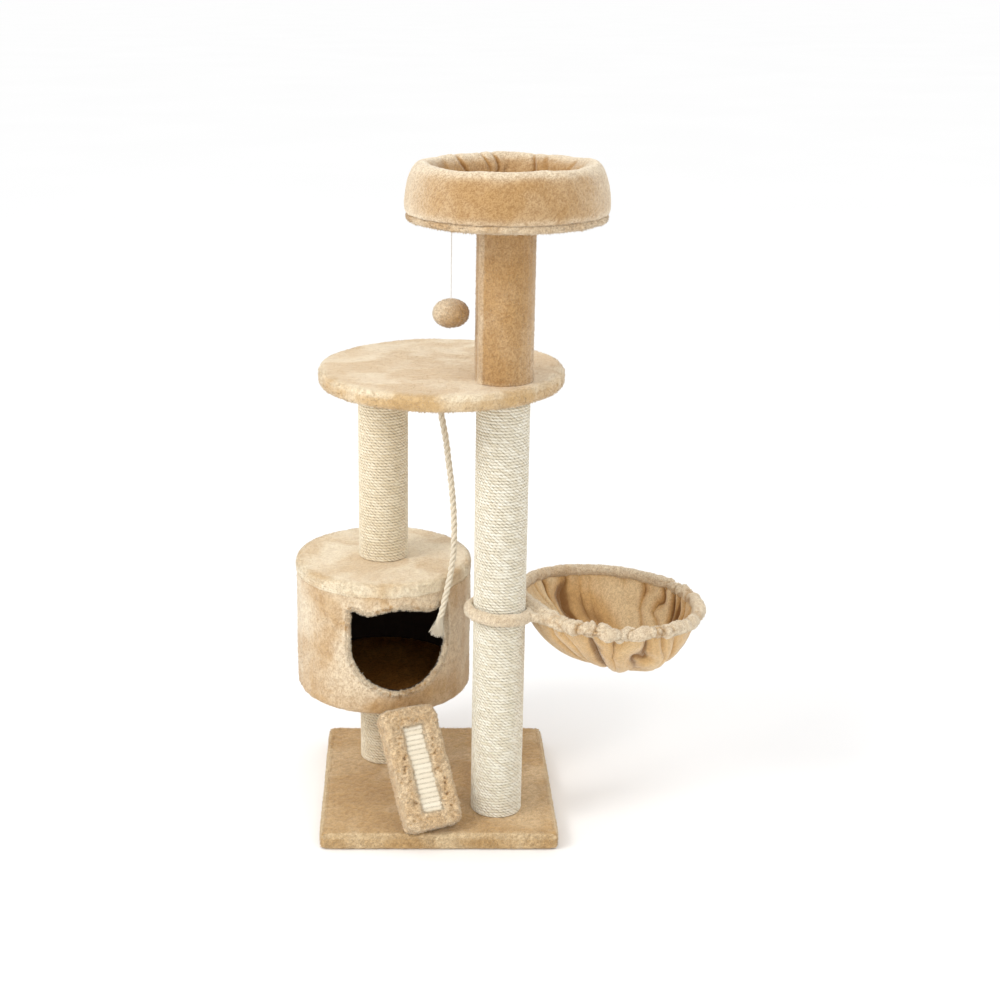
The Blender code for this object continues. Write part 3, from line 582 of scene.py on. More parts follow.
def steel_material(name):
    """Zinc-plated steel with fine drawn scratches."""
    nodes = Nodes(name)
    scratches = nodes.noise(0.0006, 3.0, 0.0, (1.0, 1.0, 0.15))
    cloud = nodes.noise(0.010, 3.0)
    colour = nodes.mix(nodes.ramp(cloud, 0.4, 0.6), rgb(176, 178, 180), rgb(206, 207, 206))
    nodes.bump(scratches, 0.00008, 0.4)
    return nodes.finish(colour, nodes.ramp(scratches, 0.3, 0.7, 0.24, 0.42), Metallic=1.0)


def rope_material(name, dark, pale):
    """Unbleached cotton: soft fibres that follow the strands, with painted shade in the grooves between them.
    """
    nodes = Nodes(name)
    fibres = nodes.noise(0.0008, 3.0, 0.8)
    groove = nodes.attribute("groove")
    colour = nodes.mix(nodes.ramp(fibres, 0.35, 0.7), rgb(*pale), rgb(*dark))
    # Painted shade in the grooves between the strands.
    colour = nodes.mix(nodes.ramp(groove, 0.25, 1.0, 0.0, 0.5), colour, rgb(166, 144, 108))
    nodes.bump(fibres, 0.0007, 0.8)
    rough = nodes.ramp(fibres, 0.3, 0.7, 0.85, 1.0)
    return nodes.finish(colour, rough, Sheen_Weight=0.3, Sheen_Roughness=0.5)


PLUSH = plush_material("plush", (140, 98, 54), (198, 162, 114), (236, 220, 192), 0.085, 0.70, grain=0.48)
PLUSH_WARM = plush_material("plush_warm", (134, 92, 48), (188, 149, 98), (238, 220, 190), brushed=0.22)
# Paler copy of the plush for the platform and the condo's roof: painted light on these tops, lifting the roof
# out of the platform's shadow.
PLUSH_PALE = plush_material(
    "plush_pale", (152, 112, 64), (208, 175, 126), (243, 229, 201), 0.08, 0.85, grain=0.36,
)
# Darker, more saturated copy of the plush for the base: painted shade from the tree standing over it.
PLUSH_BASE = plush_material(
    "plush_base", (126, 88, 46), (198, 160, 105), (230, 206, 166), 0.10, 0.75, sheen=0.7, grain=0.45,
)
PLUSH_BAG = plush_material(
    "plush_bag", (118, 76, 36), (214, 175, 120), (240, 216, 174), brushed=0.24, sheen=0.8, grain=0.32,
)
PLUSH_RAMP = plush_material("plush_ramp", (132, 90, 48), (229, 197, 151), (244, 227, 196), 0.04, 0.30)
# Dark brown plush for the cabin's mat, darkened as painted shade inside the condo.
PLUSH_CABIN_SHADE = plush_material("plush_cabin_shade", (40, 20, 6), (134, 86, 34), (168, 122, 62), 0.08, sheen=0.0)
SISAL = sisal_material("sisal", (140, 120, 90), (220, 209, 183), (243, 238, 222))
# Warmer copy of the sisal for the left posts: painted reflection of the warm plush around them.
SISAL_WARM = sisal_material("sisal_warm", (140, 114, 80), (224, 208, 176), (243, 232, 207))
SISAL_MAT = sisal_material(
    "sisal_mat", (176, 154, 118), (222, 205, 172), (245, 235, 214), narrow=0.40, bleach=0.25,
)
ROPE = rope_material("cotton_rope", (214, 200, 174), (234, 225, 206))
STRING = rope_material("string", (222, 220, 212), (244, 243, 238))
BOARD = board_material("board")
CARDBOARD = cardboard_material("cardboard", (120, 88, 54), (164, 128, 86))
# Near-black cardboard for the condo's wall, seen only inside the cabin: painted shade of the cabin's inside.
CABIN_SHADE_BOARD = cardboard_material("cabin_shade_board", (30, 18, 8), (52, 33, 16))
STEEL = steel_material("steel")


# ---------------------------------------------------------------- stage


def make_camera():
    """Camera at a standing person's height, in front of the tree."""
    data = bpy.data.cameras.new("camera")
    data.sensor_width = CAMERA_SENSOR
    data.lens = CAMERA_LENS
    data.shift_x, data.shift_y = CAMERA_SHIFT
    data.clip_end = 500.0
    camera = bpy.data.objects.new("camera", data)
    camera.location = CAMERA_PLACE
    camera.rotation_euler = (math.pi / 2 - CAMERA_PITCH, 0.0, 0.0)
    bpy.context.scene.collection.objects.link(camera)
    bpy.context.scene.camera = camera


def add_light(name, place, target, size, power, colour):
    """Large soft lamp that faces a point."""
    data = bpy.data.lights.new(name, "AREA")
    data.shape = "DISK"
    data.size = size
    data.energy = power
    data.color = colour
    lamp = bpy.data.objects.new(name, data)
    lamp.location = place
    lamp.rotation_euler = (Vector(target) - Vector(place)).to_track_quat("-Z", "Y").to_euler()
    bpy.context.scene.collection.objects.link(lamp)


def make_stage():
    """Pale floor, an even pale sky and two soft lamps from the front."""
    mesh = bpy.data.meshes.new("floor")
    bm = bmesh.new()
    bmesh.ops.create_grid(bm, x_segments=4, y_segments=4, size=150.0)
    bm.to_mesh(mesh)
    bm.free()
    floor = bpy.data.objects.new("floor", mesh)
    bpy.context.scene.collection.objects.link(floor)
    nodes = Nodes("studio_floor")
    shade = nodes.ramp(nodes.noise(1.5, 2.0), 0.3, 0.7, 0.0, 1.0)
    colour = nodes.mix(shade, (0.965, 0.965, 0.965, 1.0), (0.975, 0.975, 0.975, 1.0))
    mesh.materials.append(nodes.finish(colour, 0.9, Specular_IOR_Level=0.0))
    world = bpy.data.worlds.new("studio")
    world.use_nodes = True
    sky = world.node_tree.nodes["Background"].inputs
    sky["Color"].default_value = (1.0, 1.0, 1.0, 1.0)
    sky["Strength"].default_value = 1.02
    bpy.context.scene.world = world
    add_light("key", (-2.8, -1.6, 3.0), (0.0, 0.0, 0.55), 1.6, 66.0, (1.0, 0.995, 0.98))
    add_light("fill", (1.4, -2.8, 2.6), (0.0, 0.0, 0.5), 2.2, 10.0, (1.0, 0.99, 0.97))
    bpy.context.scene.view_settings.view_transform = "Standard"


# ---------------------------------------------------------------- cords


def rope_section(angles):
    """Radius, as a share of the rope's, of three round strands laid together, and the depth of the groove."""
    away = np.abs((angles + math.pi / 3) % (math.tau / 3) - math.pi / 3)
    strand, centre = 0.54, 0.46
    radius = centre * np.cos(away) + np.sqrt(strand**2 - (centre * np.sin(away)) ** 2)
    return radius, away / (math.pi / 3)


def make_play_rope():
    """Three-strand rope that hangs from its loop, with a frayed end."""
    rows, sides = 300, 30
    path = smooth_route(ROPE_ROUTE, rows)
    lengths = np.linspace(0.0, ROPE_LENGTH, rows)
    angles = np.tile(circle(sides), (rows, 1))
    share, groove = rope_section(angles - math.tau * lengths[:, None] / ROPE_LAY)
    swell = 1.0 + 0.03 * np.sin(lengths * 240.0)[:, None]
    start = np.clip(lengths / 0.006, 0.72, 1.0)[:, None]
    mesh = tube_mesh("play_rope", path, ROPE_RADIUS * share * swell * start, angles)
    points = points_of(mesh)
    fuzz = lump_noise(points, 0.0012, 3)
    set_points(mesh, points + normals_of(mesh) * (0.00022 * fuzz)[:, None])
    save_attribute(mesh, "groove", np.clip(groove.ravel() ** 2 - 0.15 * fuzz, 0.0, 1.0))
    rope = stand_in("play_rope", "play_rope_cord", mesh, ROPE, ROPE_BODY)
    tassel = make_tassel(path[-1])
    loop = make_loop("rope_loop", ROPE, ROPE_BODY, LOOP_CORD_RADIUS)


def make_tassel(start):
    """Frayed end of the rope: loose yarns that spread from its last turn."""
    draw = np.random.default_rng(5)
    axis = np.array(Vector(TASSEL_END)) - start
    length = np.linalg.norm(axis)
    axis = axis / length
    side = np.cross(axis, (0.0, 1.0, 0.0))
    side /= np.linalg.norm(side)
    other = np.cross(axis, side)
    rows, sides = 12, 5
    points, quads, ends, grooves = [], [], [], []
    share = np.linspace(0.0, 1.0, rows)
    radii = np.tile(YARN_RADIUS * (1.0 - 0.45 * share)[:, None], (1, sides))
    angles = np.tile(circle(sides), (rows, 1))
    for number in range(TASSEL_YARNS):
        turn = draw.random() * math.tau
        spread = math.sqrt(draw.random())
        twist = 0.8 + 0.6 * draw.random()
        reach = length * (0.80 + 0.24 * draw.random())
        bend = draw.normal(0.0, 0.0017, 2)
        curl = draw.normal(0.0, 0.0007, 2)
        angle = turn - twist * share
        radius = spread * (0.0044 + 0.0092 * share**1.4)
        a = radius * np.cos(angle) + bend[0] * share**2 + curl[0] * np.sin(share * 9.0 + turn)
        b = radius * np.sin(angle) + bend[1] * share**2 + curl[1] * np.cos(share * 8.0 + turn)
        line = start + axis * (share * reach - 0.0015)[:, None] + side * a[:, None] + other * b[:, None]
        first = number * rows * sides
        points.append(tube_points(line, radii, angles))
        quads.append(grid_quads(rows, sides, first=first))
        ends.append(first + np.arange(sides)[::-1])
        ends.append(first + (rows - 1) * sides + np.arange(sides))
        # Yarns near the middle of the bundle get more groove, which the rope material paints darker: painted
        # shade inside the frayed end.
        grooves.append(np.full(rows * sides, 0.5 * draw.random() * (1.0 - spread)))
    mesh = mesh_from("rope_fray", np.concatenate(points), np.concatenate(quads), ends)
    save_attribute(mesh, "groove", np.concatenate(grooves))
    return stand_in("rope_tassel", "rope_frayed_end", mesh, ROPE, ROPE_BODY)


def ring_frame(node):
    """Centre, radius of the middle line and the plane's normal of a CAD ring."""
    points = points_of(frame["nodes"][node].data)
    centre = (points.min(0) + points.max(0)) / 2
    _, axes = np.linalg.eigh(np.cov((points - centre).T))
    across = np.linalg.norm(points - centre, axis=1)
    return centre, (across.max() + across.min()) / 2, axes[:, 0]


def make_loop(node, material, body, radius):
    """Twisted cord loop in the place of a CAD ring."""
    centre, ring, normal = ring_frame(node)
    side = np.cross(normal, (0.0, 0.0, 1.0))
    side /= np.linalg.norm(side)
    up = np.cross(side, normal)
    steps, sides = 96, 14
    angle, around = circle(steps)[:, None], circle(sides)[None, :]
    share, groove = rope_section(around - 6.0 * angle)
    radii = radius * share
    out = side * np.cos(angle)[..., None] + up * np.sin(angle)[..., None]
    reach, rise = ring + radii * np.cos(around), radii * np.sin(around)
    points = centre + out * reach[..., None] + normal * rise[..., None]
    mesh = mesh_from(node + "_cord", points.reshape(-1, 3), grid_quads(steps, sides, wrap_rows=True))
    save_attribute(mesh, "groove", groove.ravel() ** 2)
    return stand_in(node, node + "_cord", mesh, material, body)


def make_ball_string():
    """Thin twisted string between its loop and the ball."""
    low, high, middle = node_box("ball_string")
    rows, sides = 160, 8
    levels = np.linspace(high.z, low.z, rows)
    path = np.column_stack([np.tile(middle, (rows, 1)), levels])
    angles = np.tile(circle(sides), (rows, 1))
    twist = angles - 2000.0 * levels[:, None]
    radii = STRING_RADIUS * (0.86 + 0.14 * np.cos(2.0 * twist))
    mesh = tube_mesh("ball_string_cord", path, radii, angles)
    save_attribute(mesh, "groove", 0.5 - 0.5 * np.cos(2.0 * twist).ravel())
    string = stand_in("ball_string", "ball_string_cord", mesh, STRING, BALL_BODY)
    loop = make_loop("string_loop", STRING, BALL_BODY, STRING_RADIUS)
    ball = make_ball()


# ---------------------------------------------------------------- soft solids


def welded_copy(node):
    """The CAD solid's mesh with its doubled points joined."""
    mesh = frame["nodes"][node].data.copy()
    bm = bmesh.new()
    bm.from_mesh(mesh)
    bmesh.ops.remove_doubles(bm, verts=bm.verts, dist=1e-6)
    bm.to_mesh(mesh)
    bm.free()
    return mesh


def with_modifiers(mesh, build):
    """The mesh after modifiers that build adds to an object of it; only the result is kept."""
    helper = bpy.data.objects.new("helper", mesh)
    bpy.context.scene.collection.objects.link(helper)
    build(helper)
    bpy.context.view_layer.update()
    graph = bpy.context.evaluated_depsgraph_get()
    result = bpy.data.meshes.new_from_object(helper.evaluated_get(graph))
    bpy.data.objects.remove(helper)
    return result


def remeshed(mesh, voxel):
    """The same solid as an even net of squares."""

    def build(helper):
        modifier = helper.modifiers.new("even", "REMESH")
        modifier.mode = "VOXEL"
        modifier.voxel_size = voxel

    return with_modifiers(mesh, build)


def subdivided(mesh, levels):
    """The mesh with its squares divided and rounded."""

    def build(helper):
        modifier = helper.modifiers.new("finer", "SUBSURF")
        modifier.levels = levels
        modifier.render_levels = levels

    return with_modifiers(mesh, build)


def inflated(mesh, pressure, most):
    """Cloth under inner pressure, with each point held within a distance of its start."""

    def build(helper):
        modifier = helper.modifiers.new("cloth", "CLOTH")
        settings = modifier.settings
        settings.quality = 6
        settings.mass = 0.3
        settings.tension_stiffness = 12.0
        settings.compression_stiffness = 12.0
        settings.bending_stiffness = 0.6
        settings.use_pressure = True
        settings.uniform_pressure_force = pressure
        settings.effector_weights.gravity = 0.0
        modifier.point_cache.frame_start = 1
        modifier.point_cache.frame_end = CLOTH_FRAMES
        for number in range(1, CLOTH_FRAMES + 1):
            bpy.context.scene.frame_set(number)

    start = points_of(mesh)
    result = with_modifiers(mesh, build)
    bpy.context.scene.frame_set(1)
    moved = points_of(result) - start
    reach = np.linalg.norm(moved, axis=1)[:, None]
    set_points(result, start + moved * np.minimum(1.0, most / np.maximum(reach, 1e-9)))
    return result


def surface_of(node):
    """Search tree over a CAD node's faces."""
    data = frame["nodes"][node].data
    return BVHTree.FromPolygons([v.co for v in data.vertices], [tuple(p.vertices) for p in data.polygons])


def clear_of(points, nodes, distance):
    """From 0 at the given CAD nodes to 1 at a distance from them, for each point."""
    share = np.ones(len(points))
    for name in nodes:
        surface = surface_of(name)
        found = np.array([(surface.find_nearest(Vector(p), 0.02)[3] or 0.02) for p in points])
        share = np.minimum(share, np.clip((found - GAP) / distance, 0.0, 1.0))
    return share


def keep_off(mesh, nodes, distance, chosen):
    """Push the chosen points out to a distance from the given CAD nodes."""
    points, normals = points_of(mesh), normals_of(mesh)
    for name in nodes:
        surface = surface_of(name)
        for index in np.flatnonzero(chosen):
            place, face, _, away = surface.find_nearest(Vector(points[index]), distance * 2)
            if place is None:
                continue
            inside = (Vector(points[index]) - place).dot(face) < 0
            if inside or away < distance:
                points[index] += normals[index] * (distance - (-away if inside else away))
    set_points(mesh, points)


def raise_pile(mesh, free, height, tuft, seed, lumps=0.0, lump_size=0.03):
    """Lift the surface into tufts, and keep each point's height for the material, which paints low points
    darker as shade between the tufts.
    """
    points = points_of(mesh)
    grain = np.random.default_rng(seed).uniform(-1.0, 1.0, len(points))
    tufts = 0.6 * lump_noise(points, tuft, seed) + 0.6 * grain
    relief = height * tufts + lumps * lump_noise(points, lump_size, seed + 2)
    set_points(mesh, points + normals_of(mesh) * (relief * free)[:, None])
    save_attribute(mesh, "pile", tufts)


def everywhere(points):
    """Mask that lets tufts grow all over a piece."""
    return np.ones(len(points))


def outside(axis, radius, rest):
    """Mask that is 1 outside a radius about a vertical axis, and less inside it."""
    return lambda points: np.where(np.hypot(*(points[:, :2] - axis).T) > radius, 1.0, rest)


def soft_piece(
    node, name, material, voxel, core, rounds=2, shape=None, tufts=(), body=TREE, slot="plush", **pile
):
    """Plush piece in the place of a CAD solid: evened, softened, shaped and given its pile."""
    mesh = remeshed(welded_copy(node), voxel)
    points = points_of(mesh)
    free = clear_of(points, core, 0.0016) if core else np.ones(len(points))
    points = smoothed(mesh, points, free, rounds)
    set_points(mesh, points)
    if shape is not None:
        points, pale = shape(points, normals_of(mesh), free)
        set_points(mesh, points)
        save_attribute(mesh, "pale", pale)
    raise_pile(mesh, free, **pile)
    keep_off(mesh, core, 0.0009, free > 0.5)
    for count, length, mask in tufts:
        rooted = np.concatenate([free, np.zeros(len(mesh.vertices) - len(free))])
        mesh = with_tufts(mesh, count, length, pile["seed"], rooted * mask(points_of(mesh)))
    return stand_in(node, name, mesh, material, body)


def make_ball():
    """Stuffed plush ball, a little flattened, with a sewn seam."""
    low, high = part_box("toy_ball")
    centre = np.array((low + high) / 2)

    def shape(points, normals, free):
        offset = points - centre
        seam = np.exp(-((offset[:, 0] * 0.8 + offset[:, 1] * 0.6) / 0.0012) ** 2)
        # Paler towards the top and left, darker towards the bottom and right: painted light from the key lamp
        # on the upper left, and painted shade on the far side.
        return points - normals * (0.0007 * seam)[:, None], 0.17 + 20.0 * (offset[:, 2] - offset[:, 0])

    ball = soft_piece(
        "toy_ball", "plush_ball", PLUSH_WARM, 0.0013, (), rounds=4, shape=shape, body=BALL_BODY,
        slot="ball_plush", tufts=((2500, TUFT_LENGTH, everywhere),),
        height=0.0004, tuft=0.0026, seed=21, lumps=0.0004, lump_size=0.012,
    )
    return ball


# ---------------------------------------------------------------- wound posts


def make_winding(node):
    """Sisal rope wound on a post, turn against turn, as one long helix with its ends at the back."""
    low, high, centre = node_box(node)
    tube_low, tube_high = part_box(node.replace("_sisal", "_tube"))
    outer, core = (high.x - low.x) / 2, (tube_high.x - tube_low.x) / 2
    thick = (outer - core - GAP) / 2
    middle = core + GAP + thick
    span = high.z - low.z
    pitch = span / round(span / WIND_PITCH)
    turns = round(span / pitch) - 1 + 2 * WIND_EXTRA
    rows = int(turns * WIND_STEPS) + 1
    turn = np.arange(rows) / WIND_STEPS
    draw = np.random.default_rng(int(1000 * (low.x + low.z + 1.0)))
    knots = np.arange(int(turns) + 2)
    wander = np.interp(turn, knots, draw.normal(0.0, 0.00010, len(knots)))
    swell = np.interp(turn * 5, np.arange(5 * len(knots)), draw.normal(0.0, 0.02, 5 * len(knots)))
    angle = math.tau * turn + math.pi / 2
    level = low.z + pitch * np.clip(0.5 + turn - WIND_EXTRA, 0.5, span / pitch - 0.5) + wander
    around = np.radians(WIND_SECTION)
    strand = math.tau * middle * turn[:, None] / STRAND_STEP + 3.0 * (around / math.tau)[None, :]
    groove = np.abs(strand % 1.0 - 0.5) * 2.0
    share = 1.0 + swell[:, None] - 0.17 * groove**3
    radial = middle + thick * np.cos(around)[None, :] * np.minimum(share, 1.02)
    heights = np.clip(level[:, None] + 0.53 * pitch * np.sin(around)[None, :] * share, low.z, high.z)
    x = centre[0] + radial * np.cos(angle)[:, None]
    y = centre[1] + radial * np.sin(angle)[:, None]
    points = np.stack([x, y, heights], axis=-1).reshape(-1, 3)
    sides = len(around)
    ends = [np.arange(sides)[::-1], (rows - 1) * sides + np.arange(sides)]
    mesh = mesh_from(node + "_winding", points, grid_quads(rows, sides), ends)
    save_attribute(mesh, "strand", strand.ravel())
    # The left posts take the warmer sisal, a painted reflection of the plush around them.
    material = SISAL if node.startswith("right") else SISAL_WARM
    stand_in(node, node + "_winding", mesh, material, TREE)


# ---------------------------------------------------------------- plush covers


def door_outline():
    """Cat-head outline in the door's plane: round chin, ears and forehead."""
    turns = np.linspace(math.pi, math.tau, 24)
    chin = [(DOOR_HALF_WIDTH * math.cos(t), DOOR_CENTRE_Z + DOOR_HALF_WIDTH * math.sin(t)) for t in turns]
    return np.array([*chin, *DOOR_HEAD, *((-x, z) for x, z in reversed(DOOR_HEAD[:-1]))])


def distance_to_outline(places, outline):
    """Distance of flat points from a closed outline, negative inside it."""
    best = np.full(len(places), 9.0)
    inside = np.zeros(len(places), bool)
    for a, b in zip(outline, np.roll(outline, -1, axis=0)):
        edge = b - a
        share = np.clip(((places - a) @ edge) / (edge @ edge), 0.0, 1.0)
        best = np.minimum(best, np.linalg.norm(places - a - share[:, None] * edge, axis=1))
        crosses = (a[1] > places[:, 1]) != (b[1] > places[:, 1])
        rise = b[1] - a[1] if abs(b[1] - a[1]) > 1e-12 else 1e-12
        inside ^= crosses & (places[:, 0] < a[0] + (places[:, 1] - a[1]) * (b[0] - a[0]) / rise)
    return np.where(inside, -best, best)


def door_distance(points):
    """Distance of each point from the door's outline, and whether it is on the condo's skin."""
    _, high, centre = node_box("condo_wall")
    offset, radius = from_axis(points, centre)
    outward = np.array([math.sin(DOOR_AZIMUTH), -math.cos(DOOR_AZIMUTH)])
    across = np.array([math.cos(DOOR_AZIMUTH), math.sin(DOOR_AZIMUTH)])
    facing = offset @ outward > 0.03
    away = np.full(len(points), 1.0)
    places = np.stack([offset @ across, points[:, 2]], axis=1)
    away[facing] = distance_to_outline(places[facing], door_outline())
    return away, radius > high.x - centre[0] + 0.001


def condo_shape(points, normals, free):
    """Ragged lip around the door, and a soft sag of the wall's cloth."""
    away, skin = door_distance(points)
    share = np.clip(away / LIP_WIDTH, 0.0, 1.0)
    lip = LIP_HEIGHT * np.sin(math.pi * share**0.7)
    near = np.clip(1.6 - away / LIP_WIDTH, 0.0, 1.0)
    ruffle = 0.0013 * lump_noise(points, 0.0055, 43) * near
    pits = np.clip(lump_noise(points, 0.0042, 45) - 0.30, 0.0, 1.0) * near
    sag = 0.0010 * lump_noise(points, 0.060, 41) * free
    lift = np.where(skin, lip + ruffle - 0.0020 * pits + sag, 0.0)
    # Painted light and shade: paler near the lip and in the door's reveal to lift them out of their shade,
    # and painted shade towards the wall's bottom and in the lip's pits.
    low = np.clip((0.245 - points[:, 2]) / 0.05, 0.0, 1.0)
    pale = np.where(skin, 0.17 + 0.20 * near - 0.42 * low, 0.9 * (away < 0.006)) - 1.6 * pits
    return points + normals * lift[:, None], pale


def roof_shape(points, normals, free):
    """Padded edge of the condo's roof, turned down over the top of the wall."""
    low, high, centre = node_box("condo_roof_cover")
    _, radius = from_axis(points, centre)
    edge = np.clip((radius - (high.x - centre[0]) + 0.004) / 0.003, 0.0, 1.0)
    level = (points[:, 2] - low.z) / (high.z - low.z)
    roll = 0.0007 * np.sin(math.pi * np.clip(level, 0.0, 1.0)) + 0.0006 * lump_noise(points, 0.016, 44)
    moved = points + normals * (edge * roll)[:, None]
    moved[:, 2] -= 0.0085 * edge * np.clip(1.0 - 2.0 * level, 0.0, 1.0)
    tucked = 1.0 - 0.0016 * edge * np.clip(1.0 - 4.0 * level, 0.0, 1.0) / np.maximum(radius, 1e-6)
    moved[:, :2] = centre + (moved[:, :2] - centre) * tucked[:, None]
    # Paler all over and more at the edge: painted light lifting the roof out of the platform's shadow.
    return moved, 0.30 + 0.10 * edge


def tray_shape(points, normals, free):
    """Edge of the perch's tray, drawn in at its top where the bolster hangs over it."""
    low, high, centre = node_box("perch_board_cover")
    offset, radius = from_axis(points, centre)
    edge = np.clip((radius - 0.1485) / 0.002, 0.0, 1.0)
    level = (points[:, 2] - low.z) / (high.z - low.z)
    bulge = np.sin(math.pi * np.clip(level + 0.15, 0.0, 1.0))
    change = 0.0030 * edge * (bulge - np.clip(level - 0.5, 0.0, 0.5))
    moved = points.copy()
    moved[:, :2] += offset / np.maximum(radius, 1e-6)[:, None] * change[:, None]
    # Edge painted a little paler: a painted sheen highlight on the tray's rim.
    return moved, 0.06 * edge


def base_shape(points, normals, free):
    """Corners of the base pulled square; a painted sheen highlight on its upper edges, its sides painted
    paler as lit faces, and its top painted darker as shade under the tree.
    """
    _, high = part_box("base_cover")
    reach = np.clip((np.abs(points[:, :2]) - (high.x - BASE_ROUND)) / BASE_ROUND, 0.0, 1.0)
    radius = np.maximum(np.linalg.norm(reach, axis=1), 1e-6)
    square = radius / np.maximum((reach**4).sum(axis=1) ** 0.25, 1e-6)
    corner = (reach > 0.0).all(axis=1)[:, None]
    push = np.sign(points[:, :2]) * reach * (square[:, None] - 1.0) * BASE_ROUND
    moved = points.copy()
    moved[:, :2] += np.where(corner, push, 0.0)
    side = np.abs(points[:, :2]).max(axis=1) - high.x
    crest = np.exp(-(((side + 0.004) / 0.006) ** 2)) * (points[:, 2] > high.z - 0.010)
    return moved, 0.35 * crest + 0.42 * (side > -0.004) - 0.22


def platform_shape(points, normals, free):
    """Platform with a painted sheen highlight on its upper edge, painted shade under its edge, and a little
    darker overall.
    """
    low, high, centre = node_box("platform_cover")
    _, radius = from_axis(points, centre)
    side = radius - (high.x - low.x) / 2
    crest = np.exp(-(((side + 0.006) / 0.007) ** 2)) * (points[:, 2] > high.z - 0.010)
    under = np.clip((high.z - 0.010 - points[:, 2]) / 0.010, 0.0, 1.0)
    return points, 0.38 * crest + 0.02 * (side > -0.006) - 0.10 * under - 0.20


def sleeve_shape(points, normals, free):
    """Overlapped edge of the upper post's sleeve, laid down the post."""
    low, high, centre = node_box("perch_post_plush")
    offset, _ = from_axis(points, centre)
    angle = np.arctan2(offset[:, 1], offset[:, 0]) - SLEEVE_SEAM
    along = ((angle + math.pi) % math.tau - math.pi) * (high.x - low.x) / 2
    ripple = 0.0007 * lump_noise(points, 0.018, 46)
    left = 1.0 / (1.0 + np.exp(-(along + 0.008 + ripple) / 0.0006))
    right = 1.0 / (1.0 + np.exp(-(along - 0.008 + ripple) / 0.0006))
    flap = left - right
    hem = np.clip(1.0 - (points[:, 2] - low.z) / 0.006, 0.0, 1.0)
    lift = (0.0013 * flap + 0.0014 * hem) * free
    # Flap and hem painted paler: a painted highlight along the lifted edges.
    return points + normals * lift[:, None], 0.40 * flap + 0.3 * hem


def near_door(points):
    """Mask of the condo's lip."""
    away, _ = door_distance(points)
    return (away < 0.7 * LIP_WIDTH).astype(float)


def base_edge(points):
    """Mask of the base's sides and edge, with a little of its top, above the floor."""
    side = np.abs(points[:, :2]).max(axis=1) > 0.190
    return (points[:, 2] > 0.004) * np.where(side, 1.0, 0.07)


def make_covers():
    """Plush on the base, platform, condo, perch tray and upper post."""
    soft_piece(
        "base_cover", "base_plush", PLUSH_BASE, 0.0028, ("base_board",), rounds=1,
        shape=base_shape, tufts=((13000, 0.0028, base_edge),),
        height=0.0007, tuft=0.0048, seed=1, lumps=0.0005, lump_size=0.05,
    )
    soft_piece(
        "platform_cover", "platform_plush", PLUSH_PALE, 0.0028, ("platform_board",), rounds=2,
        shape=platform_shape, tufts=((9000, 0.0025, outside(PLATFORM_AXIS, 0.192, 0.15)),),
        height=0.0006, tuft=0.0052, seed=3, lumps=0.0007, lump_size=0.045,
    )
    soft_piece(
        "condo_cover", "condo_plush", PLUSH, 0.0030, ("condo_wall", "condo_floor_board"), rounds=2,
        shape=condo_shape,
        tufts=((4500, 0.0032, near_door), (8000, TUFT_LENGTH, outside(CONDO_AXIS, 0.152, 0.0))),
        height=0.0006, tuft=0.0052, seed=5, lumps=0.0005, lump_size=0.04,
    )
    soft_piece(
        "condo_roof_cover", "condo_roof_plush", PLUSH_PALE, 0.0024, ("condo_roof_board",), rounds=3,
        shape=roof_shape, tufts=((8000, 0.0026, outside(CONDO_AXIS, 0.144, 0.12)),),
        height=0.0006, tuft=0.0044, seed=7, lumps=0.0006, lump_size=0.035,
    )
    soft_piece(
        "condo_floor_mat", "cabin_mat", PLUSH_CABIN_SHADE, 0.0026, ("condo_floor_board",), rounds=2,
        tufts=((5000, TUFT_LENGTH, lambda points: points[:, 2] > 0.2),), height=0.0006, tuft=0.0044, seed=9,
    )
    soft_piece(
        "perch_board_cover", "perch_tray_plush", PLUSH, 0.0026, ("perch_board",), rounds=2,
        shape=tray_shape, tufts=((6000, 0.0026, outside(PERCH_AXIS, 0.148, 0.1)),),
        height=0.0006, tuft=0.0036, seed=11, lumps=0.0006, lump_size=0.03,
    )
    soft_piece(
        "perch_post_plush", "perch_post_sleeve", PLUSH_WARM, 0.0019, ("perch_post_tube",), rounds=1,
        shape=sleeve_shape, tufts=((9000, 0.0018, everywhere),), height=0.0005, tuft=0.0032, seed=13,
    )


# ---------------------------------------------------------------- perch


def bolster_creases(points, centre):
    """Depth of the short creases over the bolster's inner wall and crown."""
    offset, radius = from_axis(points, centre)
    angle = np.degrees(np.arctan2(offset[:, 1], offset[:, 0]))
    inner = np.clip((0.142 - radius) / 0.024, 0.0, 1.0)
    depth = np.zeros(len(points))
    for place, width, deep in BOLSTER_CREASES:
        bent = place + 3.0 * np.sin((points[:, 2] - 1.09) * 90.0 + place)
        turn = (angle - bent + 180.0) % 360.0 - 180.0
        depth += 0.001 * deep * (np.exp(-((turn / width) ** 2)) - 0.35 * np.exp(-((turn / width / 2.6) ** 2)))
    return depth * inner


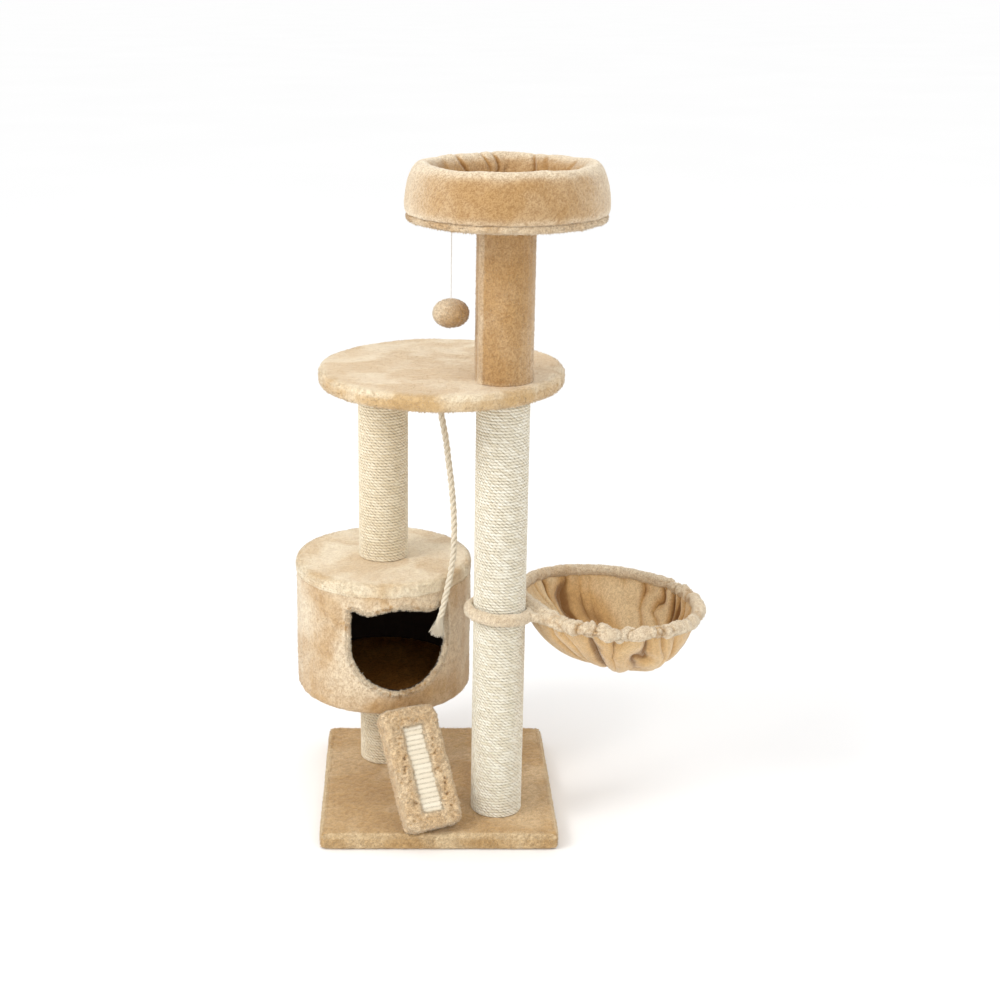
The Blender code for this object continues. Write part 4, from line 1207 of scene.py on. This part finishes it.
def bolster_start(centre):
    """Bolster before it is stuffed: a ring of the sewn section, uneven along its length."""
    section = np.array(BOLSTER_SECTION + BOLSTER_SECTION[:1])
    spans = np.concatenate([[0.0], np.cumsum(np.linalg.norm(np.diff(section, axis=0), axis=1))])
    rows, columns = BOLSTER_NET
    even = np.linspace(0.0, spans[-1], rows, endpoint=False)
    radius, level = (np.interp(even, spans, section[:, i])[:, None] for i in (0, 1))
    angle = circle(columns)[None, :]
    high = np.clip((level - 1.075) / 0.05, 0.0, 1.0)
    uneven = 0.0013 * np.sin(5 * angle + 0.6) + 0.0009 * np.sin(8 * angle + 2.0) + 0.0005 * np.sin(17 * angle)
    radius = radius + uneven * high
    level = level + high * (0.0010 * np.sin(4 * angle + 1.0) + 0.0005 * np.sin(9 * angle))
    x, y = centre[0] + radius * np.cos(angle), centre[1] + radius * np.sin(angle)
    points = np.stack(np.broadcast_arrays(x, y, level), axis=-1).reshape(-1, 3)
    return mesh_from("perch_bolster_ring", points, grid_quads(rows, columns, wrap_rows=True))


def make_perch():
    """Stuffed ring around the perch, and the cushion that lies in it."""
    low, high, centre = node_box("perch_bolster")
    mesh = bolster_start(centre)
    mesh = inflated(mesh, 4.0, 0.0030)
    mesh = subdivided(mesh, 2)
    points, normals = points_of(mesh), normals_of(mesh)
    points = points - normals * bolster_creases(points, centre)[:, None]
    _, radius = from_axis(points, centre)
    points[:, 2] = np.where(radius < 0.1505, np.maximum(points[:, 2], low.z + 0.0002), points[:, 2])
    set_points(mesh, points)
    free = np.clip((points[:, 2] - low.z) / 0.002, 0.0, 1.0)
    free = np.maximum(free, np.clip((radius - 0.152) / 0.002, 0.0, 1.0))
    # Painted light and shade: sheen highlights painted pale on the crest, the left and right sides and the
    # hem, and painted shade in the creases.
    crest = np.exp(-(((points[:, 2] - high.z) / 0.011) ** 2))
    sides = 0.55 * ((points[:, 0] - centre[0]) / radius) ** 4 * (radius > 0.13)
    hem = np.exp(-(((points[:, 2] - BOLSTER_HEM) / 0.006) ** 2)) * (radius > 0.15)
    pale = np.clip(1.35 * crest + sides + 0.35 * hem, 0.0, 1.2)
    save_attribute(mesh, "pale", pale - 320.0 * np.clip(bolster_creases(points, centre), 0.0, 1.0))
    raise_pile(mesh, free, height=0.00060, tuft=0.0030, seed=15, lumps=0.0005, lump_size=0.016)
    bolster = stand_in("perch_bolster", "perch_bolster_ring", mesh, PLUSH_WARM, TREE)
    make_cushion(centre)


def make_cushion(centre):
    """Thin cushion on the perch, dented where a cat lies."""
    low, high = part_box("perch_cushion")
    mesh = remeshed(welded_copy("perch_cushion"), 0.0050)
    points = points_of(mesh)
    top = np.clip((points[:, 2] - low.z) / (high.z - low.z), 0.0, 1.0)
    points[:, 2] += top * 0.0022 * lump_noise(points, 0.05, 61)
    points[:, :2] = centre + (points[:, :2] - centre) * 0.975
    set_points(mesh, points)
    mesh = inflated(mesh, 3.0, 0.0025)
    mesh = subdivided(mesh, 1)
    raise_pile(mesh, np.ones(len(mesh.vertices)), height=0.0006, tuft=0.0036, seed=17)
    points = points_of(mesh)
    points[:, 2] = np.maximum(points[:, 2], low.z)
    set_points(mesh, points)
    cushion = stand_in("perch_cushion", "perch_cushion_pad", mesh, PLUSH_WARM, TREE)


# ---------------------------------------------------------------- ramp


def ramp_place():
    """Ramp frame: X across, Y up the slope, Z out of its face, origin mid-thickness at its foot."""
    heading = Vector((math.sin(RAMP_HEADING), -math.cos(RAMP_HEADING), 0.0))
    up_slope = -heading * math.cos(RAMP_SLOPE) + Vector((0, 0, math.sin(RAMP_SLOPE)))
    across = Vector((math.cos(RAMP_HEADING), math.sin(RAMP_HEADING), 0.0))
    out = heading * math.sin(RAMP_SLOPE) + Vector((0, 0, math.cos(RAMP_SLOPE)))
    foot_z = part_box("base_cover")[1].z + GAP + RAMP_THICKNESS / 2 * math.cos(RAMP_SLOPE)
    rotation = Matrix((across, up_slope, out)).transposed().to_4x4()
    return Matrix.Translation((*RAMP_FOOT, foot_z)) @ rotation


def window_distance(points):
    """Distance of each point from the edge of the ramp's window, and its height out of the ramp's middle."""
    x, y, out = placed(points, ramp_place().inverted()).T
    middle, half = sum(STRIP_SPAN) / 2, (STRIP_SPAN[1] - STRIP_SPAN[0]) / 2
    gap_x = np.abs(x) - STRIP_WIDTH / 2
    gap_y = np.abs(y - middle) - half
    return np.where((gap_x > 0) & (gap_y > 0), np.hypot(gap_x, gap_y), np.maximum(gap_x, gap_y)), out


def near_window(points):
    """Mask of the padding's edge around the ramp's window."""
    away, out = window_distance(points)
    return ((away < 0.0030) & (out > 0.0095)).astype(float)


def ramp_shape(points, normals, free):
    """Padding that swells between the ramp's edge and its window, and hangs over the window's edge."""
    away, out = window_distance(points)
    top = np.clip((out - 0.002) / 0.006, 0.0, 1.0)
    roll = np.sin(math.pi * np.clip(away / 0.030, 0.0, 1.0) ** 0.8)
    drawn = np.exp(-np.clip(away, 0.0, 1.0) / 0.005)
    tucks = lump_noise(points, 0.009, 71)
    ringed = np.exp(-(((away - 0.012) / 0.007) ** 2))
    pits = np.clip(lump_noise(points, 0.0052, 73) - 0.60 + 0.36 * ringed, 0.0, 1.0)
    lift = top * (0.0010 * roll - 0.0014 * drawn + 0.0014 * tucks - 0.0055 * pits)
    lift += (1.0 - top) * 0.0010 * lump_noise(points, 0.014, 72)
    place = np.array(ramp_place())[:3]
    middle = place @ (0.0, sum(STRIP_SPAN) / 2, 0.0, 1.0)
    inward = middle + place[:, 1] * ((points - middle) @ place[:, 1])[:, None] * 0.92 - points
    inward /= np.linalg.norm(inward, axis=1)[:, None]
    overhang = 0.0034 + 0.0044 * lump_noise(points, 0.006, 74)
    hang = drawn * np.clip((out - 0.0100) / 0.0010, 0.0, 1.0) * overhang
    points = points + inward * hang[:, None]
    # Colour: painted shade in the pits and, a little, in the band round the window where they gather; painted
    # light along the window's edge, where the overhanging pile sits in shade.
    return points + normals * (lift * free)[:, None], (0.22 - 2.4 * pits - 0.15 * ringed + 0.5 * drawn) * top


def make_ramp():
    """Padded cover of the ramp, and the matting in its window."""
    cover = soft_piece(
        "ramp_cover", "ramp_padding", PLUSH_RAMP, 0.0020, ("ramp_board",), rounds=4, shape=ramp_shape,
        tufts=((14000, 0.0032, everywhere), (1400, 0.0042, near_window)),
        height=0.0009, tuft=0.0040, seed=19, lumps=0.0012, lump_size=0.009,
    )
    make_matting()


def make_matting():
    """Sisal matting with ribs across it, whose edges lie under the padding."""
    rows, columns = STRIP_NET
    half = STRIP_WIDTH / 2 + STRIP_UNDER
    along = np.linspace(STRIP_SPAN[0] - STRIP_UNDER, STRIP_SPAN[1] + STRIP_UNDER, rows)
    across = np.linspace(-half, half, columns)
    phase = along[:, None] / STRIP_RIB + 0.07 * np.sin(across * 1500.0)[None, :]
    arch = np.abs(np.sin(math.pi * phase)) ** 0.35
    cords = 0.00050 * np.sin(across * 2100.0 + 2.2 * np.pi * np.abs(phase % 1.0 - 0.5) * 2.0) * arch
    heights = STRIP_TOP - 0.0014 + 0.0014 * arch + cords
    x, y = np.broadcast_arrays(across[None, :], along[:, None])
    top = np.stack([x, y, heights], axis=-1).reshape(-1, 3)
    index = np.arange(rows * columns).reshape(rows, columns)
    rim = np.concatenate([index[0], index[1:, -1], index[-1, :-1][::-1], index[1:-1, 0][::-1]])
    bottom = top[rim].copy()
    bottom[:, 2] = 2 * GAP
    low = len(top) + np.arange(len(rim))
    walls = np.stack([rim, low, np.roll(low, -1), np.roll(rim, -1)], axis=1)
    quads = np.concatenate([grid_quads(rows, columns, wrap_columns=False), walls])
    points = placed(np.concatenate([top, bottom]), ramp_place())
    mesh = mesh_from("ramp_matting", points, quads, [low])
    strand = np.concatenate([(phase + 0.14 * np.sin(x * 2100.0)).ravel(), np.zeros(len(rim))])
    save_attribute(mesh, "strand", strand)
    stand_in("ramp_sisal", "ramp_matting", mesh, SISAL_MAT, TREE)


# ---------------------------------------------------------------- basket


# Centre of the collar, on the post's axis, in world axes.
SWIVEL = next(np.array(joint["pos_m"]) for joint in frame["joints"] if joint["name"] == "basket_swivel")


def basket_place(distance):
    """Frame in the basket's plane, its X away from the post, at a distance along the arm."""
    arm = Vector((math.cos(BASKET_AZIMUTH), math.sin(BASKET_AZIMUTH), 0.0))
    along = arm * math.cos(BASKET_DROOP) - Vector((0, 0, math.sin(BASKET_DROOP)))
    across = Vector((-math.sin(BASKET_AZIMUTH), math.cos(BASKET_AZIMUTH), 0.0))
    rotation = Matrix((along, across, along.cross(across))).transposed().to_4x4()
    return Matrix.Translation(Vector(SWIVEL) + along * distance) @ rotation


def gather_turn(angle):
    """Angle around the basket, with its gathers unevenly spaced."""
    return angle + 0.08 * np.sin(2 * angle + 1.1) + 0.06 * np.sin(5 * angle + 0.4) + 0.035 * np.sin(9 * angle)


def gather_strength(angle):
    """How strongly the cloth is bunched: most at the front, little at the back and by the post."""
    world = angle + BASKET_AZIMUTH
    strength = 0.06
    for place, width, share in BASKET_GATHERS:
        away = (world - math.radians(place) + math.pi) % math.tau - math.pi
        strength = strength + share * np.exp(-((away / width) ** 2))
    return np.clip(strength, 0.0, 1.0)


def valleys(turn, count, sharp):
    """Rounded folds with narrow valleys between them, from 0 to 1."""
    return np.abs(np.sin(0.5 * count * turn)) ** sharp


def gathers(angle, depth):
    """Outward height of the bag's folds at an angle and a depth from 0 at the rim to 1 at the bottom."""
    strength = gather_strength(angle)
    inward = 0.5 + 0.5 * np.tanh(3.0 * np.sin(angle + BASKET_AZIMUTH + math.radians(22.0)))
    a, d = np.broadcast_arrays(angle, depth)
    places = np.stack([0.15 * np.cos(a), 0.15 * np.sin(a), 0.22 * d], axis=-1).reshape(-1, 3)
    wander = (0.11 * lump_noise(places, 0.055, 91) + 0.04 * lump_noise(places, 0.024, 92)).reshape(a.shape)
    slant = gather_turn(angle) + 0.20 * np.sin(3.0 * angle + 0.5) * depth + wander
    fine = valleys(slant, 42, 0.7) - 0.65
    broad = np.where(inward > 0.5, valleys(slant + 0.06, 34, 0.6), valleys(slant + 0.06, 26, 0.6)) - 0.7
    long = valleys(slant + 0.3, 13, 0.8) - 0.62
    rim = np.exp(-((depth / 0.16) ** 2))
    middle = np.clip(depth / 0.05, 0.0, 1.0) * np.exp(-(((depth - 0.10) / 0.40) ** 2))
    lower = np.clip(depth / 0.2, 0.0, 1.0) * np.clip((1.0 - depth) / 0.5, 0.0, 1.0)
    folds = 0.0034 * fine * rim + (0.0100 + 0.0015 * inward) * broad * middle + 0.0100 * long * lower
    soft = 0.0040 * np.sin(4 * angle + 3.0 * depth + 0.7 + 3.0 * wander) * lower
    return strength * folds * (1.0 - 2.0 * inward) + soft


def bag_grid(offset):
    """Points of the bag's cloth at an offset into it, in the basket's frame, and their folds' height."""
    rows, columns = BAG_NET
    section = np.array(BAG_SECTION)
    spans = np.concatenate([[0.0], np.cumsum(np.linalg.norm(np.diff(section, axis=0), axis=1))])
    even = np.linspace(0.0, spans[-1], rows)
    radius = np.interp(even, spans, section[:, 0])
    depth = np.interp(even, spans, section[:, 1])
    kernel = np.ones(9) / 9
    radius[4:-4] = np.convolve(radius, kernel, "valid")
    depth[4:-4] = np.convolve(depth, kernel, "valid")
    slope = np.stack([np.gradient(depth), -np.gradient(radius)], axis=1)
    slope /= np.linalg.norm(slope, axis=1)[:, None]
    angle = circle(columns)
    share = (even / spans[-1])[:, None]
    lift = gathers(angle[None, :], share) - offset
    r = radius[:, None] + slope[:, :1] * lift
    d = depth[:, None] + slope[:, 1:] * lift
    x = r * np.cos(angle)[None, :] + BAG_LEAN * (d - section[0, 1])
    y = r * np.sin(angle)[None, :]
    return np.stack([x, y, -d], axis=-1).reshape(-1, 3), lift


def make_bag():
    """Hanging cloth of the basket, gathered on its rim."""
    rows, columns = BAG_NET
    outer, lift = bag_grid(0.0)
    inner, _ = bag_grid(BAG_THICKNESS)
    points = placed(np.concatenate([outer, inner]), basket_place(RING_DISTANCE))
    count = rows * columns
    edge = np.arange(columns)
    hem = np.stack([edge, np.roll(edge, -1), count + np.roll(edge, -1), count + edge], axis=1)
    quads = np.concatenate([grid_quads(rows, columns)[:, ::-1], grid_quads(rows, columns, first=count), hem])
    last = (rows - 1) * columns + edge
    mesh = mesh_from("basket_cloth", points, quads, [last, (count + last)[::-1]])
    lift = lift.ravel()
    # Painted light and shade on the folds: crests paler and valleys darker, outside and inside the bag.
    crest = np.clip(lift / 0.004, -1.0, 1.0)
    valley_shade_outside = np.clip((-lift - 0.0020) / 0.0040, 0.0, 1.0)
    valley_shade_inside = np.clip((lift - 0.0015) / 0.0045, 0.0, 1.0)
    pale_outside = 0.30 * crest - 0.08 - 0.6 * valley_shade_outside
    pale_inside = 0.28 - 0.80 * crest - 0.6 * valley_shade_inside
    save_attribute(mesh, "pale", np.concatenate([pale_outside, pale_inside]))
    raise_pile(mesh, np.ones(2 * count), height=0.00035, tuft=0.0034, seed=23)
    bag = stand_in("basket_bag", "basket_cloth", mesh, PLUSH_BAG, BASKET)


def bore_points():
    """Inside of the rim's sleeve, around the basket's wire, in the basket's frame."""
    angle, around = circle(BORE_NET[0])[:, None], circle(BORE_NET[1])[None, :]
    out = BASKET_RING + WIRE_BORE * np.cos(around) + 0.0 * angle
    height = WIRE_BORE * np.sin(around) + 0.0 * angle
    return np.stack([out * np.cos(angle), out * np.sin(angle), height], axis=-1).reshape(-1, 3)


def make_rim():
    """Plush sleeve pushed along the basket's wire, bunched into ruffles at the front."""
    columns, sides = RIM_NET
    angle, around = circle(columns)[:, None], circle(sides)[None, :]
    world = (angle + BASKET_AZIMUTH + math.pi) % math.tau - math.pi
    strength = np.maximum(gather_strength(angle), 0.6 * np.exp(-((world / 0.9) ** 2)))
    strength = strength * (1.0 - 0.8 / (1.0 + np.exp(-(np.sin(world) - 0.62) / 0.06)))
    turn = gather_turn(angle)
    line = np.stack([np.cos(angle), np.sin(angle), 0.0 * angle], axis=-1) * BASKET_RING
    shell = line + RIM_RADIUS * np.stack(np.broadcast_arrays(
        np.cos(around) * np.cos(angle), np.cos(around) * np.sin(angle), np.sin(around)), axis=-1)
    large = np.abs(lump_noise(shell.reshape(-1, 3), 0.021, 81)).reshape(columns, sides)
    small = np.abs(lump_noise(shell.reshape(-1, 3), 0.010, 82)).reshape(columns, sides)
    tucked = valleys(turn + 0.02 * np.sin(around + 1.0), 44, 0.6) - 0.7
    lumps = 0.0095 * np.sqrt(large) + 0.0050 * np.sqrt(small) - 0.0068 + 0.0022 * tucked
    from_post = (angle + math.tau) % math.tau - math.pi
    web = np.exp(-((from_post / 0.60) ** 2)) * np.clip(-np.cos(around), 0.0, 1.0)
    radius = RIM_RADIUS * 1.03 + (0.05 + 0.95 * strength) * lumps + 0.0150 * web
    out = BASKET_RING + 0.0008 + radius * np.cos(around) + 0.0012 * strength * np.sin(21 * turn)
    height = 1.05 * radius * np.sin(around) + 0.0018 * strength * np.sin(14 * turn + 0.6)
    local = np.stack([out * np.cos(angle), out * np.sin(angle), height], axis=-1).reshape(-1, 3)
    bore = bore_points()
    points = placed(np.concatenate([local, bore]), basket_place(RING_DISTANCE))
    bore_quads = grid_quads(*BORE_NET, wrap_rows=True, first=len(local))[:, ::-1]
    quads = np.concatenate([grid_quads(columns, sides, wrap_rows=True), bore_quads])
    mesh = mesh_from("basket_rim_ruffle", points, quads)
    free = np.concatenate([np.ones(len(local)), np.zeros(len(bore))])
    # Ruffles painted paler on their bulges and darker in their tucks: painted light and shade.
    crest = np.clip(lumps * strength / 0.006, -0.6, 0.3)
    save_attribute(mesh, "pale", np.concatenate([0.52 + crest.ravel(), np.zeros(len(bore))]))
    raise_pile(mesh, free, height=0.0006, tuft=0.0028, seed=25, lumps=0.0007, lump_size=0.008)
    mesh = with_tufts(mesh, 12000, TUFT_LENGTH, 25, free)
    rim = stand_in("basket_rim_sleeve", "basket_rim_ruffle", mesh, PLUSH, BASKET)


def collar_shape(points, normals, free):
    """Collar and gusset filled out, with the collar's shoulders drawn in to the post."""
    offset, radius = from_axis(points, SWIVEL[:2])
    height = (points - SWIVEL) @ np.array(basket_place(0.0))[:3, 2]
    near_post = np.clip((COLLAR_SHOULDER - radius) / 0.005, 0.0, 1.0)
    shoulder = np.clip((np.abs(height) - 0.0015) / 0.005, 0.0, 1.0) * near_post
    drawn = np.minimum(0.0042 * shoulder, np.clip(radius - COLLAR_BORE, 0.0, 1.0))
    points = points.copy()
    points[:, :2] -= offset / radius[:, None] * drawn[:, None]
    inward = (normals[:, :2] * offset).sum(axis=1) / radius < -0.3
    bore = inward & (radius < 0.049)
    lift = np.where(bore, 0.0007, 0.0026) * free
    return points + normals * lift[:, None], np.full(len(points), 0.62)


def make_basket():
    """Rim, collar with its gusset, and bag."""
    make_rim()
    collar = soft_piece(
        "basket_collar_sleeve", "basket_collar_plush", PLUSH, 0.0016, ("basket_wire",), rounds=3,
        shape=collar_shape, tufts=((3000, TUFT_LENGTH, everywhere),), body=BASKET,
        height=0.0006, tuft=0.0030, seed=27, lumps=0.0008, lump_size=0.012,
    )
    make_bag()


# ---------------------------------------------------------------- carried-over parts


def dress_hard_parts():
    """Materials of the CAD parts that stay: boards, plugs, tubes, bolts, eyes and wire."""
    for name, obj in frame["nodes"].items():
        # The condo's wall gets the near-black cardboard, as painted shade inside the cabin.
        if name == "condo_wall":
            material = CABIN_SHADE_BOARD
        elif name.endswith("_tube"):
            material = CARDBOARD
        elif name.endswith(("_board", "_plug")):
            material = BOARD
        else:
            material = STEEL
        obj.data.materials.clear()
        obj.data.materials.append(material)


def main():
    make_camera()
    make_stage()
    make_play_rope()
    make_ball_string()
    dress_hard_parts()
    for node in sorted(n for n in frame["nodes"] if n.endswith("_post_sisal")):
        make_winding(node)
    make_covers()
    make_perch()
    make_ramp()
    make_basket()


main()
